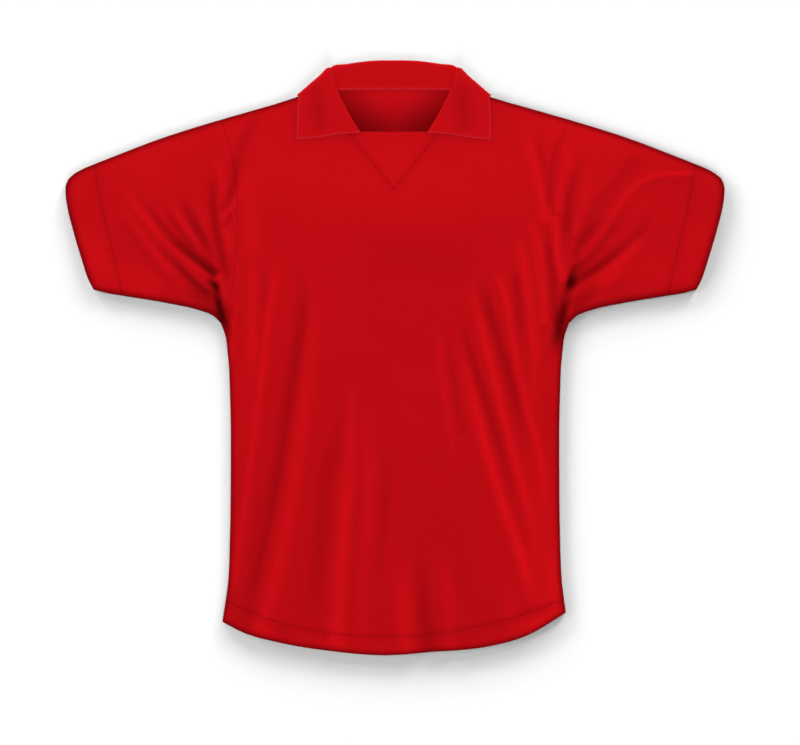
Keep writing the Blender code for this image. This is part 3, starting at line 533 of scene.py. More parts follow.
EDGES = {-1: folded_edges(-1), 1: folded_edges(1)}
NECK_EDGES = [straight(*metres((V_POINT, HIGH_SHOULDER), side)) for side in (-1, 1)]
ARMHOLES = [Line(metres(ARMHOLE, side)) for side in (-1, 1)]
CUFF_SEAMS = [Line(metres(CUFF_SEAM, side)) for side in (-1, 1)]
SLEEVE_SEAMS = ARMHOLES + CUFF_SEAMS
HEM_STITCH = Line(metres(HEM_STITCH_LINE))


def nearest(plan, points, reach=FAR):
    """Distance from each plan point to a polyline, share of its length there, and side.

    Points further away than reach may keep the distance FAR.
    """
    points = np.asarray(points)
    distance = np.full(plan.shape[:-1], FAR)
    share = np.zeros(plan.shape[:-1])
    is_left = np.zeros(plan.shape[:-1], bool)
    low, high = points.min(axis=0) - reach, points.max(axis=0) + reach
    close = np.all((plan >= low) & (plan <= high), axis=-1)
    if close.any():
        distance[close], share[close], is_left[close] = nearest_of_all(plan[close], points)
    return distance, share, is_left


def nearest_of_all(plan, points):
    """Nearest place on a polyline for a list of plan points."""
    steps = np.diff(points, axis=0)
    lengths = np.linalg.norm(steps, axis=1)
    distance = np.full(len(plan), np.inf)
    share = np.zeros(len(plan))
    is_left = np.zeros(len(plan), bool)
    walked = 0.0
    for start, step, length in zip(points[:-1], steps, lengths):
        away = plan - start
        along = np.clip((away @ step) / length**2, 0, 1)
        gap = away - along[:, None] * step
        reach = np.hypot(gap[:, 0], gap[:, 1])
        closer = reach < distance
        distance = np.where(closer, reach, distance)
        share = np.where(closer, (walked + along * length) / lengths.sum(), share)
        is_left = np.where(closer, gap[:, 0] * -step[1] + gap[:, 1] * step[0] > 0, is_left)
        walked += length
    return distance, share, is_left


def edge_distance(plan):
    """How far each plan point lies from the nearest folded edge or side seam."""
    lines = [line for edges in EDGES.values() for line in edges.values()]
    return np.min([nearest(plan, line.points, EDGE_REACH)[0] for line in lines], axis=0)


# ================================================================ heights
def edge_roll(distance, parting):
    """Half the height between the two layers beside a folded edge."""
    inside = np.clip(EDGE_RADIUS - distance, 0, EDGE_RADIUS)
    rise = np.sqrt(EDGE_RADIUS**2 - inside**2) / EDGE_RADIUS
    return parting + (EDGE_RADIUS - parting) * rise


def collar_lift(plan):
    """How far the garment is raised where it lies on the collar's back leaf."""
    across = np.abs(plan[..., 0])
    leaf_edge = LEAF_BACK_CENTRE_Y + LEAF_BACK_RISE * (across / LEAF_HALF_WIDTH) ** 2
    reach = LIFT_MARGIN + LIFT_RUN
    lengthways = smooth_step((plan[..., 1] - leaf_edge + reach) / LIFT_RUN)
    crossways = smooth_step((LEAF_HALF_WIDTH + reach - across) / LIFT_RUN)
    return COLLAR_LIFT * lengthways * crossways


def fold_weights(plan, folds):
    """Each fold with how much of it reaches every plan point, from 0 to 1."""
    for fold in folds:
        path = Line(np.array(fold.path) * MM, FOLD_SAMPLES).points
        distance, share, is_left = nearest(plan, path, max(fold.left, fold.right) * MM)
        reach = np.where(is_left, fold.left, fold.right) * MM
        profile = (1 - np.clip(distance / reach, 0, 1) ** 2) ** 2
        ends = smooth_step(share / fold.fade_in) * smooth_step((1 - share) / fold.fade_out)
        yield fold, profile * ends


def fold_height(plan, folds):
    """Height added by soft ridges and troughs that fade at both ends."""
    return sum(fold.height * MM * weight for fold, weight in fold_weights(plan, folds))


def painted_fold_shading(plan, folds):
    """Painted light and shade: how much paler or darker each fold makes the cloth."""
    painted_shade = np.ones(plan.shape[:-1])
    for fold, weight in fold_weights(plan, folds):
        painted_shade *= 1 + fold.shade * weight
    return painted_shade


def ripple(plan):
    """Faint waves in every direction."""
    dice = np.random.default_rng(RIPPLE_SEED)
    total = np.zeros(plan.shape[:-1])
    for _ in range(RIPPLE_WAVES):
        turn, phase = dice.uniform(0, 2 * math.pi, 2)
        number = 2 * math.pi / dice.uniform(*RIPPLE_LENGTHS)
        walk = plan[..., 0] * math.cos(turn) + plan[..., 1] * math.sin(turn)
        total += RIPPLE_HEIGHT * np.sin(number * walk + phase)
    return total


def seam_relief(plan, lines):
    """Cloth sinks into its seams and swells beside them, unevenly."""
    total = np.zeros(plan.shape[:-1])
    for line in lines:
        distance, share, _ = nearest(plan, line.points)
        along = 2 * math.pi * share * line.length
        pucker = np.sin(along / PUCKER_PITCH) * np.sin(along / PUCKER_BEAT + 1)
        total -= SEAM_DIP * bell(distance, SEAM_DIP_REACH)
        total += (SEAM_SWELL * (1 + PUCKER_SHARE * pucker)
                  * bell(distance - SEAM_SWELL_AT, SEAM_SWELL_REACH))
    return total


def hem_relief(plan):
    """The stitches sink in, and the doubled hem below them stands a little higher."""
    distance, _, is_above = nearest(plan, HEM_STITCH.points)
    below = np.where(is_above, -distance, distance)
    return HEM_PLY * smooth_step(below / HEM_PLY_RUN) - HEM_DIP * bell(distance, HEM_DIP_REACH)


def back_height(plan, parting=0.0):
    """Middle of the lower layer: back panel and undersides of the sleeves."""
    distance = edge_distance(plan)
    freedom = smooth_step((distance - EDGE_RADIUS) / FOLD_RUN)
    creases = fold_height(plan, BACK_FOLDS)
    sunk = -seam_relief(plan, SLEEVE_SEAMS) - hem_relief(plan)
    return (EDGE_CENTRE - edge_roll(distance, parting) + collar_lift(plan)
            + freedom * np.maximum(creases + sunk, 0))


def front_level(plan, distance):
    """Height of the upper layer's middle, before its edges roll down."""
    inside = distance - EDGE_RADIUS
    loft = (FRONT_LEVEL - EDGE_CENTRE - EDGE_RADIUS) * smooth_step(inside / LOFT_RUN)
    folds = fold_height(plan, FRONT_FOLDS) + ripple(plan)
    relief = seam_relief(plan, SLEEVE_SEAMS + NECK_EDGES) + hem_relief(plan)
    return (EDGE_CENTRE + EDGE_RADIUS + loft + folds * smooth_step(inside / FOLD_RUN)
            + relief * smooth_step(inside / RELIEF_RUN) + collar_lift(plan))


def front_height(plan, parting=0.0):
    """Middle of the upper layer: front panel, insert and upper sides of the sleeves."""
    distance = edge_distance(plan)
    height = front_level(plan, distance) - EDGE_RADIUS + edge_roll(distance, parting)
    floor = back_height(plan) + DOUBLED + INWARD + LAYER_GAP
    return np.where(distance > 2 * EDGE_RADIUS, np.maximum(height, floor), height)


# ================================================================ skins
def shares(length, step, breaks=(0, 1)):
    """Shares from 0 to 1 about a step apart, closer at both ends, that hit every break."""
    close = np.array(EDGE_ROWS) / length
    regular = np.unique(np.round(np.concatenate([
        np.linspace(start, end, math.ceil((end - start) * length / step) + 1)
        for start, end in zip(breaks[:-1], breaks[1:])]), 9))
    clear = close[-1] + step / 2 / length
    regular = regular[(regular > clear) & (regular < 1 - clear)]
    return np.concatenate([[0], close, regular, 1 - close[::-1], [1]])


def patch(bottom, top, left, right, across, along):
    """Plan points of a four-sided piece, blended from its four edges."""
    u, v = across[None, :, None], along[:, None, None]
    low, high = bottom.at(across)[None], top.at(across)[None]
    first, last = left.at(along)[:, None], right.at(along)[:, None]
    corners = ((1 - u) * (1 - v) * low[:, :1] + u * (1 - v) * low[:, -1:]
               + (1 - u) * v * high[:, :1] + u * v * high[:, -1:])
    return (1 - v) * low + v * high + (1 - u) * first + u * last - corners


def directions(points, axis, ring):
    """The way the grid runs at each point, along one of its axes."""
    if ring:
        ahead = np.roll(points, -1, axis) - points
        behind = points - np.roll(points, 1, axis)
    else:
        step = np.diff(points, axis=axis)
        ahead = np.concatenate([step, np.take(step, [-1], axis)], axis)
        behind = np.concatenate([np.take(step, [0], axis), step], axis)
    ahead_length = np.linalg.norm(ahead, axis=-1, keepdims=True)
    behind_length = np.linalg.norm(behind, axis=-1, keepdims=True)
    return ahead / ahead_length**2 + behind / behind_length**2


def border_taper(middle, half, ring):
    """From 0 at the border to 1 where the wall has its full thickness."""
    gap = np.full(middle.shape[:2], FAR)
    for axis in ((0,) if ring else (0, 1)):
        steps = np.linalg.norm(np.diff(middle, axis=axis), axis=-1)
        start = np.zeros_like(np.take(steps, [0], axis))
        walked = np.concatenate([start, np.cumsum(steps, axis)], axis)
        gap = np.minimum(gap, np.minimum(walked, np.take(walked, [-1], axis) - walked))
    inside = np.clip(1 - gap / half, 0, 1)
    return np.sqrt(1 - inside**2)


def grid_faces(index, ring):
    """Four-sided faces between neighbouring points of a grid."""
    if ring:
        index = np.concatenate([index, index[:, :1]], axis=1)
    return np.stack([index[:-1, :-1], index[:-1, 1:], index[1:, 1:], index[1:, :-1]],
                    axis=-1).reshape(-1, 4)


def leaned(points):
    """Points of the cloth with the neck moved a little to one side."""
    up = smooth_step((points[:, 1] - NECK_LEAN_LOW) / NECK_LEAN_RUN)
    inside = smooth_step((NECK_LEAN_WIDE + NECK_LEAN_RUN - np.abs(points[:, 0])) / NECK_LEAN_RUN)
    return points - np.outer(NECK_LEAN * up * inside, (1, 0, 0))


def new_mesh(name, points, faces, material):
    mesh = bpy.data.meshes.new(name)
    mesh.from_pydata(points.tolist(), [], faces)
    mesh.shade_smooth()
    mesh.materials.append(material)
    piece = bpy.data.objects.new(name, mesh)
    bpy.context.scene.collection.objects.link(piece)
    return piece


def skin(name, middle, outward, inward, side, material, knit, painted_shades, rim_highlights=None, ring=False):
    """A closed skin round a grid of middle points, with round edges.

    Side 1 puts the outer face on the side that the grid's rows and columns turn to.
    Painted shades are a pair of grids of painted light and shade, for the outer and the reverse
    face.
    """
    normal = side * np.cross(directions(middle, 1, ring), directions(middle, 0, False))
    normal /= np.linalg.norm(normal, axis=-1, keepdims=True)
    taper = border_taper(middle, OUTWARD, ring)[..., None]
    outer = middle + normal * taper * np.broadcast_to(outward, middle.shape[:2])[..., None]
    inner = middle - normal * taper * np.broadcast_to(inward, middle.shape[:2])[..., None]
    index = np.arange(middle[..., 0].size).reshape(middle.shape[:2])
    reverse = index + index.size
    reverse[[0, -1]] = index[[0, -1]]
    if not ring:
        reverse[:, [0, -1]] = index[:, [0, -1]]
    outer_faces, inner_faces = grid_faces(index, ring), grid_faces(reverse, ring)
    if side > 0:
        faces = np.concatenate([outer_faces, inner_faces[:, ::-1]])
    else:
        faces = np.concatenate([outer_faces[:, ::-1], inner_faces])
    used, faces = np.unique(faces, return_inverse=True)
    points = np.concatenate([outer.reshape(-1, 3), inner.reshape(-1, 3)])[used]
    piece = new_mesh(name, leaned(points), faces.reshape(-1, 4).tolist(), material)
    flat_knit = np.pad(knit.reshape(-1, 2), ((0, 0), (0, 1)))
    add_values(piece, "knit", np.concatenate([flat_knit, flat_knit])[used])
    add_values(piece, "painted_shade", np.concatenate([painted_shade.ravel() for painted_shade in painted_shades])[used])
    rim_highlights = np.zeros(middle.shape[:2]) if rim_highlights is None else rim_highlights
    add_values(piece, "rim_highlight", np.concatenate([rim_highlights.ravel(), rim_highlights.ravel()])[used])
    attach(piece, "root")
    return piece


def add_values(piece, name, values):
    """Stores a number or a vector at each point of a piece, for its material to read."""
    kind, field = ("FLOAT", "value") if values.ndim == 1 else ("FLOAT_VECTOR", "vector")
    piece.data.attributes.new(name, kind, "POINT").data.foreach_set(field, values.ravel())


def raised(plan, height):
    return np.concatenate([plan, height[..., None]], axis=-1)


def painted_line_shade(plan, line, dark, reach):
    """Painted shade along a line, fading to nothing beside it; a negative dark paints a paler
    line.
    """
    reach = reach * MM
    return 1 - dark * bell(nearest(plan, line.points, SHADE_END * reach)[0], reach)


def painted_edge_shade(plan):
    """Painted shade along the cloth's outer edges, where they turn away from the light."""
    painted_shade = painted_line_shade(plan, Line(metres(HEM_LINE)), *HEM_SHADE)
    for side in (-1, 1):
        lines = dict(EDGES[side], cuff_open=Line(metres(CUFF_OPEN_EDGE, side)))
        for name, line in lines.items():
            left, right, reach = EDGE_SHADES[name]
            dark = left if side < 0 else right
            painted_shade = np.minimum(painted_shade, painted_line_shade(plan, line, dark, reach))
    return painted_shade


def painted_seam_shade(plan):
    """Painted shade in the seams and in the row of stitches of the hem; the armholes get a paler
    painted line.
    """
    painted_shade = painted_line_shade(plan, HEM_STITCH, *HEM_STITCH_SHADE)
    for lines, shade in ((ARMHOLES, ARMHOLE_SHADE), (CUFF_SEAMS, CUFF_SEAM_SHADE),
                         (NECK_EDGES, V_SHADE)):
        painted_shade *= np.min([painted_line_shade(plan, line, *shade) for line in lines], axis=0)
    return painted_shade


# Painted light and shade of a face, along its edges, seams and folds.
def painted_face_shade(plan, folds):
    return painted_edge_shade(plan) * painted_seam_shade(plan) * painted_fold_shading(plan, folds)


def painted_front_shades(plan):
    """Painted light and shade of a flat piece of the front, whose reverse doesn't show."""
    return painted_face_shade(plan, FRONT_FOLDS) * painted_leaf_shadow(plan), np.ones(plan.shape[:2])


def painted_leaf_shadow(plan):
    """Painted shadow on the front just outside the collar's leaf, which lies on it."""
    painted_shades = []
    for side in (-1, 1):
        share = np.linspace(0, 1, LEAF_OUTLINE_STEPS)
        bottom = straight(*metres((FOLD_LINE_FRONT[0], LEAF_POINT), side)).at(share)
        bottom[:, 1] += leaf_end_bow(share)
        lines = Line(bottom, 1), straight(*metres((LEAF_POINT, LEAF_SILHOUETTE[-1]), side))
        painted_shades += [painted_line_shade(plan, line, *LEAF_SHADE) for line in lines]
    return np.min(painted_shades, axis=0)


def painted_neck_shade(plan):
    """Painted shade on the reverse of the back, seen in the neck: darker towards its front and its
    sides, and along its seam.
    """
    low_edge = straight(*metres(((-FAR / MM, INSERT_TOP_Y), (FAR / MM, INSERT_TOP_Y))))
    top_seam = straight(*metres(((-HIGH_SHOULDER.x, BACK_NECK_Y),
                                 (HIGH_SHOULDER.x, BACK_NECK_Y))))
    folds = [Line(metres(FOLD_LINE_FRONT, side)) for side in (-1, 1)]
    painted_shade = painted_line_shade(plan, top_seam, *NECK_SEAM_SHADE)
    for lines in ([low_edge], folds):
        gap = np.min([nearest(plan, line.points)[0] for line in lines], axis=0)
        painted_shade *= NECK_PAINTED_SHADE + (1 - NECK_PAINTED_SHADE) * smooth_step(gap / NECK_PAINTED_SHADE_RUN)
    return painted_shade


# ================================================================ panels
def body_sides(side):
    """Shoulder line and side seam of the body, ending half a seam short of the sleeve."""
    edges = EDGES[side]
    return edges["shoulder"].part(last=SEAM_GAP / 2), edges["side"].part(first=SEAM_GAP / 2)


def side_route(side):
    """Side seam and then armhole, from the hem to the shoulder."""
    shoulder, seam = body_sides(side)
    armhole = outline(ARMHOLE, side, -SEAM_GAP / 2).pinned(shoulder.points[-1], seam.points[0])
    length = seam.length + armhole.length
    return Route([seam.backwards(), armhole.backwards()], (0.0, seam.length / length, 1.0)), length


class Stretch:
    """Part of a route, walked from 0 to 1."""

    def __init__(self, route, start, end):
        self.route = route
        self.start = start
        self.end = end

    def at(self, share):
        return self.route.at(self.start + share * (self.end - self.start))


def share_at_height(route, height):
    """Where a route that climbs passes a height."""
    share = np.linspace(0, route.breaks[1], ROUTE_SAMPLES)
    return np.interp(height, route.at(share)[:, 1], share)


def body_plan(neck_low, step):
    """Front or back: hem below, side seams and armholes beside, shoulders and neck above.

    A row of points runs along the hem's stitches.
    """
    (left, length), (right, _) = side_route(-1), side_route(1)
    sides = left, right
    cuts = [share_at_height(side, y) for side, y in zip(sides, HEM_STITCH.points[[0, -1], 1])]
    hem = Line(metres(HEM_LINE)).pinned(*(side.lines[0].points[0] for side in sides))
    stitch = HEM_STITCH.pinned(*(side.at(np.array([cut]))[0] for side, cut in zip(sides, cuts)))
    shoulders = [body_sides(side)[0] for side in (-1, 1)]
    neck = [straight(shoulders[0].points[0], neck_low), straight(neck_low, shoulders[1].points[0])]
    width = shoulders[1].points[-1, 0] - shoulders[0].points[-1, 0]
    reach = (width / 2 - HIGH_SHOULDER.x * MM) / width
    breaks = (0, reach, 0.5, 1 - reach, 1)
    top = Route([shoulders[0].backwards(), *neck, shoulders[1]], breaks)
    across = shares(width, step, breaks)
    low = patch(hem, stitch, *(Stretch(side, 0, cut) for side, cut in zip(sides, cuts)),
                across, shares(cuts[0] * length, step))
    armpit = (left.breaks[1] - cuts[0]) / (1 - cuts[0])
    high = patch(stitch, top, *(Stretch(side, cut, 1) for side, cut in zip(sides, cuts)),
                 across, shares((1 - cuts[0]) * length, step, (0, armpit, 1)))
    return np.concatenate([low, high[1:]])


def hem_inward(plan):
    """The wall is doubled below the hem's row of stitches, where it is turned up."""
    distance, _, is_above = nearest(plan, HEM_STITCH.points)
    above = np.where(is_above, distance, -distance)
    return DOUBLED - (DOUBLED - INWARD) * smooth_step(above / HEM_PLY_RUN - 1)


def front_panel(material):
    plan = body_plan(np.array(V_POINT) * MM - (0, SEAM_GAP / 2), FRONT_STEP)
    middle = raised(plan, front_height(plan, SEAM_PARTING))
    return skin("front_cloth", middle, OUTWARD, hem_inward(plan), 1, material, plan,
                painted_front_shades(plan))


def back_panel(material):
    plan = body_plan(np.array([0, BACK_NECK_Y * MM - SEAM_GAP / 2]), BACK_STEP)
    middle = raised(plan, back_height(plan, SEAM_PARTING))
    painted_shades = painted_face_shade(plan, BACK_FOLDS), painted_neck_shade(plan)
    return skin("back_cloth", middle, OUTWARD, hem_inward(plan), -1, material, plan, painted_shades)


TUBES = {
    "sleeve": Tube("sleeve_top", "underarm", ARMHOLE, CUFF_SEAM, SEAM_GAP / 2, INWARD),
    "cuff": Tube("cuff_top", "cuff_under", CUFF_SEAM, CUFF_OPEN_EDGE, 0, DOUBLED),
}


def tube(kind, side, name, material):
    """A flattened tube of cloth: the upper layer over the plan, the lower one back again."""
    gap, shape = SEAM_GAP / 2, TUBES[kind]
    top, under = (EDGES[side][edge].part(gap, shape.end_gap) for edge in (shape.top, shape.under))
    start = outline(shape.start, side, gap).pinned(top.points[0], under.points[0])
    end = outline(shape.end, side, -shape.end_gap).pinned(top.points[-1], under.points[-1])
    plan = patch(start, end, top, under, shares(start.length, SLEEVE_STEP),
                 shares(under.length, SLEEVE_STEP))
    upper = raised(plan, front_height(plan))
    lower = raised(plan, back_height(plan))
    for layer in (upper, lower):
        layer[:, (0, -1), 2] = EDGE_CENTRE

    def round_trip(above, below):
        return np.concatenate([above, below[:, ::-1][:, 1:-1]], axis=1)

    knit = plan[..., ::-1]
    # painted light and shade of the upper and the lower layer
    painted_shade = round_trip(painted_face_shade(plan, FRONT_FOLDS), painted_face_shade(plan, BACK_FOLDS))
    return skin(name, round_trip(upper, lower), OUTWARD, shape.inward, side, material,
                round_trip(knit, knit), (painted_shade, np.ones_like(painted_shade)), ring=True)


def insert(material):
    """The flat three-cornered piece that fills the bottom of the V, blunt at its tip."""
    inset = SEAM_GAP / 2 / MM * math.hypot(1, V_SLOPE)
    top_half = V_SLOPE * (INSERT_TOP_Y - V_POINT.y) - inset
    low_y = V_POINT.y + (INSERT_TIP_HALF + inset) / V_SLOPE
    corners = metres(((-INSERT_TIP_HALF, low_y), (INSERT_TIP_HALF, low_y),
                      (-top_half, INSERT_TOP_Y), (top_half, INSERT_TOP_Y)))
    bottom, top, left, right = (straight(corners[start], corners[end])
                                for start, end in ((0, 1), (2, 3), (0, 2), (1, 3)))
    plan = patch(bottom, top, left, right, shares(top.length, INSERT_STEP),
                 shares(left.length, INSERT_STEP))
    middle = raised(plan, front_height(plan))
    return skin("insert_cloth", middle, OUTWARD, INWARD, 1, material, plan, painted_front_shades(plan))


# ================================================================ collar
# The collar is one strip: a stand sewn to the neck, a fold, and a leaf turned down.
FOLD_FRONT = Line(metres(FOLD_LINE_FRONT))
FOLD_BACK = Line(metres((FOLD_LINE_FRONT[-1], *FOLD_LINE_BACK)))
SILHOUETTE = Line(metres(LEAF_SILHOUETTE))
LEAF_EDGE_FRONT = straight(*metres((LEAF_POINT, LEAF_SILHOUETTE[-1])))
FOOT_FRONT = straight(*metres(((V_SLOPE * (STAND_FRONT_Y - V_POINT.y), STAND_FRONT_Y),
                               HIGH_SHOULDER))).moved(SEAM_GAP / 2)


def unit(vector):
    return vector / np.linalg.norm(vector)


def collar_columns():
    """Across the strip: foot of the stand, up to the fold, round it, out to the leaf's edge."""
    steps = COLLAR_STEPS
    near = [row / STRIP_RUN for row in COLLAR_EDGE_ROWS]
    stand = [0, *near, *np.linspace(0, 1, steps["stand"], endpoint=False)[1:]]
    fold = np.linspace(-math.pi / 2, math.pi / 2, steps["fold"] + 1)
    leaf = [*np.linspace(0, 1, steps["leaf"] + 1)[1:-1], *(1 - row for row in near[::-1]), 1]
    return ([("stand", q) for q in sorted(stand)] + [("fold", a) for a in fold]
            + [("leaf", q) for q in sorted(leaf)])


def section_point(section, kind, value):
    """Plan point and height of one column in a section through the strip.

    The leaf turns over the stand in front (over = 1) and under it behind (over = -1).
    """
    foot, fold, edge, radius = section.foot, section.fold, section.edge, section.radius
    apex = unit(unit(fold - foot) + unit(fold - edge))
    start = fold - radius * apex
    leaf_top = section.stand_top + 2 * section.over * radius
    if kind == "stand":
        height = section.foot_height + value * (section.stand_top - section.foot_height)
        return foot + value * (start - foot), height
    if kind == "fold":
        height = section.stand_top + section.over * radius * (1 + math.sin(value))
        return start + radius * math.cos(value) * apex, height
    bulge = LEAF_BULGE * math.sin(math.pi * value) * (section.over > 0)
    height = leaf_top + value * (section.edge_height - leaf_top) + bulge
    return start + value * (edge - start), height


def front_section(t):
    """Section t of the way from the collar's front end to the shoulder."""
    foot = FOOT_FRONT.at(t)
    edge = LEAF_EDGE_FRONT.at(t)
    return Section(foot, FOLD_FRONT.at(t), edge, front_level(foot, edge_distance(foot)),
                   STAND_TOP_FRONT, front_level(edge, edge_distance(edge)) + LEAF_CLEARANCE,
                   FOLD_RADIUS_FRONT, over=1)


def back_section(t):
    """Section t of the way from the shoulder to the middle of the back."""
    foot = np.array([STAND_FOOT.x * MM * (1 - t), BACK_NECK_Y * MM + SEAM_GAP / 2])
    leaf_edge = LEAF_BACK_CENTRE_Y + LEAF_BACK_RISE * (1 - t) ** 2
    edge = np.array([LEAF_HALF_WIDTH * (1 - t), leaf_edge])
    rise = smooth_step(t / STAND_BACK_RUN) * (STAND_TOP_BACK - STAND_TOP_SHOULDER_BACK)
    stand_top = STAND_TOP_SHOULDER_BACK + rise
    return Section(foot, FOLD_BACK.at(t), edge, BACK_LEVEL + COLLAR_LIFT, stand_top,
                   COLLAR_WALL / 2, (stand_top - COLLAR_WALL / 2) / 2, over=-1)


def leaf_end_bow(value):
    """How far the leaf's front edge is bowed up, at a share of the way out from the fold."""
    return LEAF_END_BOW * MM * np.sin(2 * math.pi * value)


def front_end_shift(kind, value, t):
    """How the strip's front end is cut: the stand set back, the leaf's edge bowed."""
    if kind == "leaf":
        return leaf_end_bow(value) * (1 - t) ** END_BOW_FADE
    on_stand = value if kind == "stand" else (1 - math.sin(value)) / 2
    return (STAND_FRONT_Y - FOLD_LINE_FRONT[0][1]) * MM * on_stand * (1 - t) ** END_CUT_FADE


def shoulder_turn(kind, value):
    """Outermost plan point of a column where it turns over the shoulder, and its way out."""
    foot = np.array(STAND_FOOT) * MM
    corner = np.array(SHOULDER_CORNER) * MM
    up = unit(corner - foot)
    stand_out = np.array([up[1], -up[0]])
    radius = (FOLD_RADIUS_FRONT + back_section(0).radius) / 2
    down = unit(SILHOUETTE.at(LEAF_EDGE_STEP) - SILHOUETTE.at(0.0))
    leaf_out = np.array([-down[1], down[0]])
    fold_out = unit(stand_out + leaf_out)
    apex = unit(up - down)
    centre = corner - radius * apex
    if kind == "stand":
        return foot + value * (centre - radius * fold_out - foot), stand_out
    if kind == "fold":
        turn = math.sin(value)
        way_out = unit(stand_out * (1 - turn) + leaf_out * (1 + turn)
                       - np.array([0, CREST_TILT * math.cos(value)]))
        return centre + radius * (math.cos(value) * apex + turn * fold_out), way_out
    start = centre + radius * fold_out
    place = SILHOUETTE.at(value) + (1 - value) * (start - SILHOUETTE.points[0])
    ahead = unit(SILHOUETTE.at(min(value + LEAF_EDGE_STEP, 1.0))
                 - SILHOUETTE.at(value - LEAF_EDGE_STEP))
    return place, np.array([-ahead[1], ahead[0]])


def collar_column(kind, value, front_runs, back_runs):
    """One column of the strip: front run, half turn over the shoulder, back run."""
    front = [section_point(section, kind, value) for _, section in front_runs]
    back = [section_point(section, kind, value) for _, section in back_runs]
    high, low = front[-1][1], back[0][1]
    radius = (high - low) / 2
    outermost, way_out = shoulder_turn(kind, value)
    centre = outermost - radius * way_out
    column = []
    for (t, _), (place, height) in zip(front_runs, front):
        shift = np.array([0, front_end_shift(kind, value, t)])
        column.append((*(place + shift + t**TURN_FADE * (centre - front[-1][0])), height))
    for angle in WRAP_ANGLES:
        turn = math.radians(angle)
        place = centre + radius * math.cos(turn) * way_out
        column.append((*place, (high + low) / 2 + radius * math.sin(turn)))
    for (t, _), (place, height) in zip(back_runs, back):
        column.append((*(place + (1 - t) ** TURN_FADE * (centre - back[0][0])), height))
    return column


def collar(material):
    steps = COLLAR_STEPS
    near = [row / LEAF_EDGE_FRONT.length for row in COLLAR_EDGE_ROWS]
    front_steps = sorted([0, *near, *np.linspace(0, 1, steps["front"] + 1)[1:]])
    front_runs = [(t, front_section(t)) for t in front_steps]
    back_runs = [(t, back_section(t)) for t in np.linspace(0, 1, steps["back"] + 1)]
    columns = [collar_column(kind, value, front_runs, back_runs)
               for kind, value in collar_columns()]
    half = np.array(columns).transpose(1, 0, 2)
    strip = np.concatenate([half, half[::-1][1:] * np.array([-1, 1, 1])])
    across = np.linalg.norm(np.diff(strip, axis=1), axis=-1)
    along = np.linalg.norm(np.diff(strip, axis=0), axis=-1)
    across = np.pad(np.cumsum(across, axis=1), ((0, 0), (1, 0)))
    along = np.pad(np.cumsum(along, axis=0), ((1, 0), (0, 0)))
    knit = np.stack([along, across], axis=-1)
    edge_gap = np.minimum(across[:, -1:] - across, np.minimum(along, along[-1] - along))
    # a painted highlight along the strip's edges
    rim_highlights = np.maximum(bell(edge_gap, RIM_HIGHLIGHT_REACH), bell(across, RIM_HIGHLIGHT_REACH))
    # painted shade in bands on the leaf, the same on both faces
    painted_shade = painted_fold_shading(strip[..., :2], LEAF_BANDS)
    half_wall = COLLAR_WALL / 2
    return skin("collar_cloth", strip, half_wall, half_wall, 1, material, knit, (painted_shade, painted_shade), rim_highlights)


# ================================================================ sewing
def stitching(name, line, surface, thread, material, upward=1):
    """A row of stitches: short threads that dip into the cloth at both ends.

    On the underside, where upward is -1, they lie in their groove clear of the floor.
    """
    count = int(line.length // thread.pitch)
    run = np.linspace(-1, 1, THREAD_RINGS)
    share = ((np.arange(count) + 0.5) / count)[:, None] + run * thread.length / 2 / line.length
    plan = line.at(share)
    ahead = np.gradient(plan, axis=1)
    ahead /= np.linalg.norm(ahead, axis=-1, keepdims=True)
    sideways = np.stack([-ahead[..., 1], ahead[..., 0], np.zeros_like(share)], axis=-1)
    stand = thread.radius * (THREAD_STAND - THREAD_PLUNGE * run**2)
    level = surface(plan) + upward * (OUTWARD + stand)
    centre = raised(plan, np.maximum(level, thread.radius))
    turn = np.linspace(0, 2 * math.pi, THREAD_SIDES, endpoint=False)
    girth = thread.radius * np.sqrt(THREAD_BLUNT - run**4)[None, :, None, None]
    points = centre[:, :, None] + girth * (np.cos(turn)[:, None] * sideways[:, :, None]
                                           + np.sin(turn)[:, None] * np.array([0, 0, 1.0]))
    index = np.arange(count * THREAD_RINGS * THREAD_SIDES).reshape(count, THREAD_RINGS, -1)
    faces = [face for stitch in index for face in grid_faces(stitch, ring=True)[:, ::-1].tolist()]
    faces += [ring.tolist() for ring in index[:, 0]]
    faces += [ring[::-1].tolist() for ring in index[:, -1]]
    piece = new_mesh(name, leaned(points.reshape(-1, 3)), faces, material)
    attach(piece, "root")
    return piece


# ================================================================ materials
def set_inputs(tree, node, inputs):
    """Each input is a plain value or another node's output."""
    for name, value in inputs.items():
        if isinstance(value, bpy.types.NodeSocket):
            tree.links.new(value, node.inputs[name])
        else:
            node.inputs[name].default_value = value


def add_node(tree, kind, inputs, **settings):
    """The outputs of a new shader node."""
    node = tree.nodes.new(f"ShaderNode{kind}")
    for name, value in settings.items():
        setattr(node, name, value)
    set_inputs(tree, node, inputs)
    return node.outputs


def value_node(tree, operation, *values):
    return add_node(tree, "Math", dict(enumerate(values)), operation=operation)[0]


def attribute_node(tree, name, output="Fac"):
    return add_node(tree, "Attribute", {}, attribute_name=name)[output]


def noise_node(tree, noise):
    """Noise over the garment, mapped to a range."""
    waves = add_node(tree, "TexNoise", {"Vector": add_node(tree, "TexCoord", {})["Object"],
                                        "Scale": noise.scale, "Detail": noise.detail})
    low, high = NOISE_MIDDLE
    return add_node(tree, "MapRange", {
        "Value": waves["Fac"], "From Min": low, "From Max": high,
        "To Min": noise.low, "To Max": noise.high})["Result"]


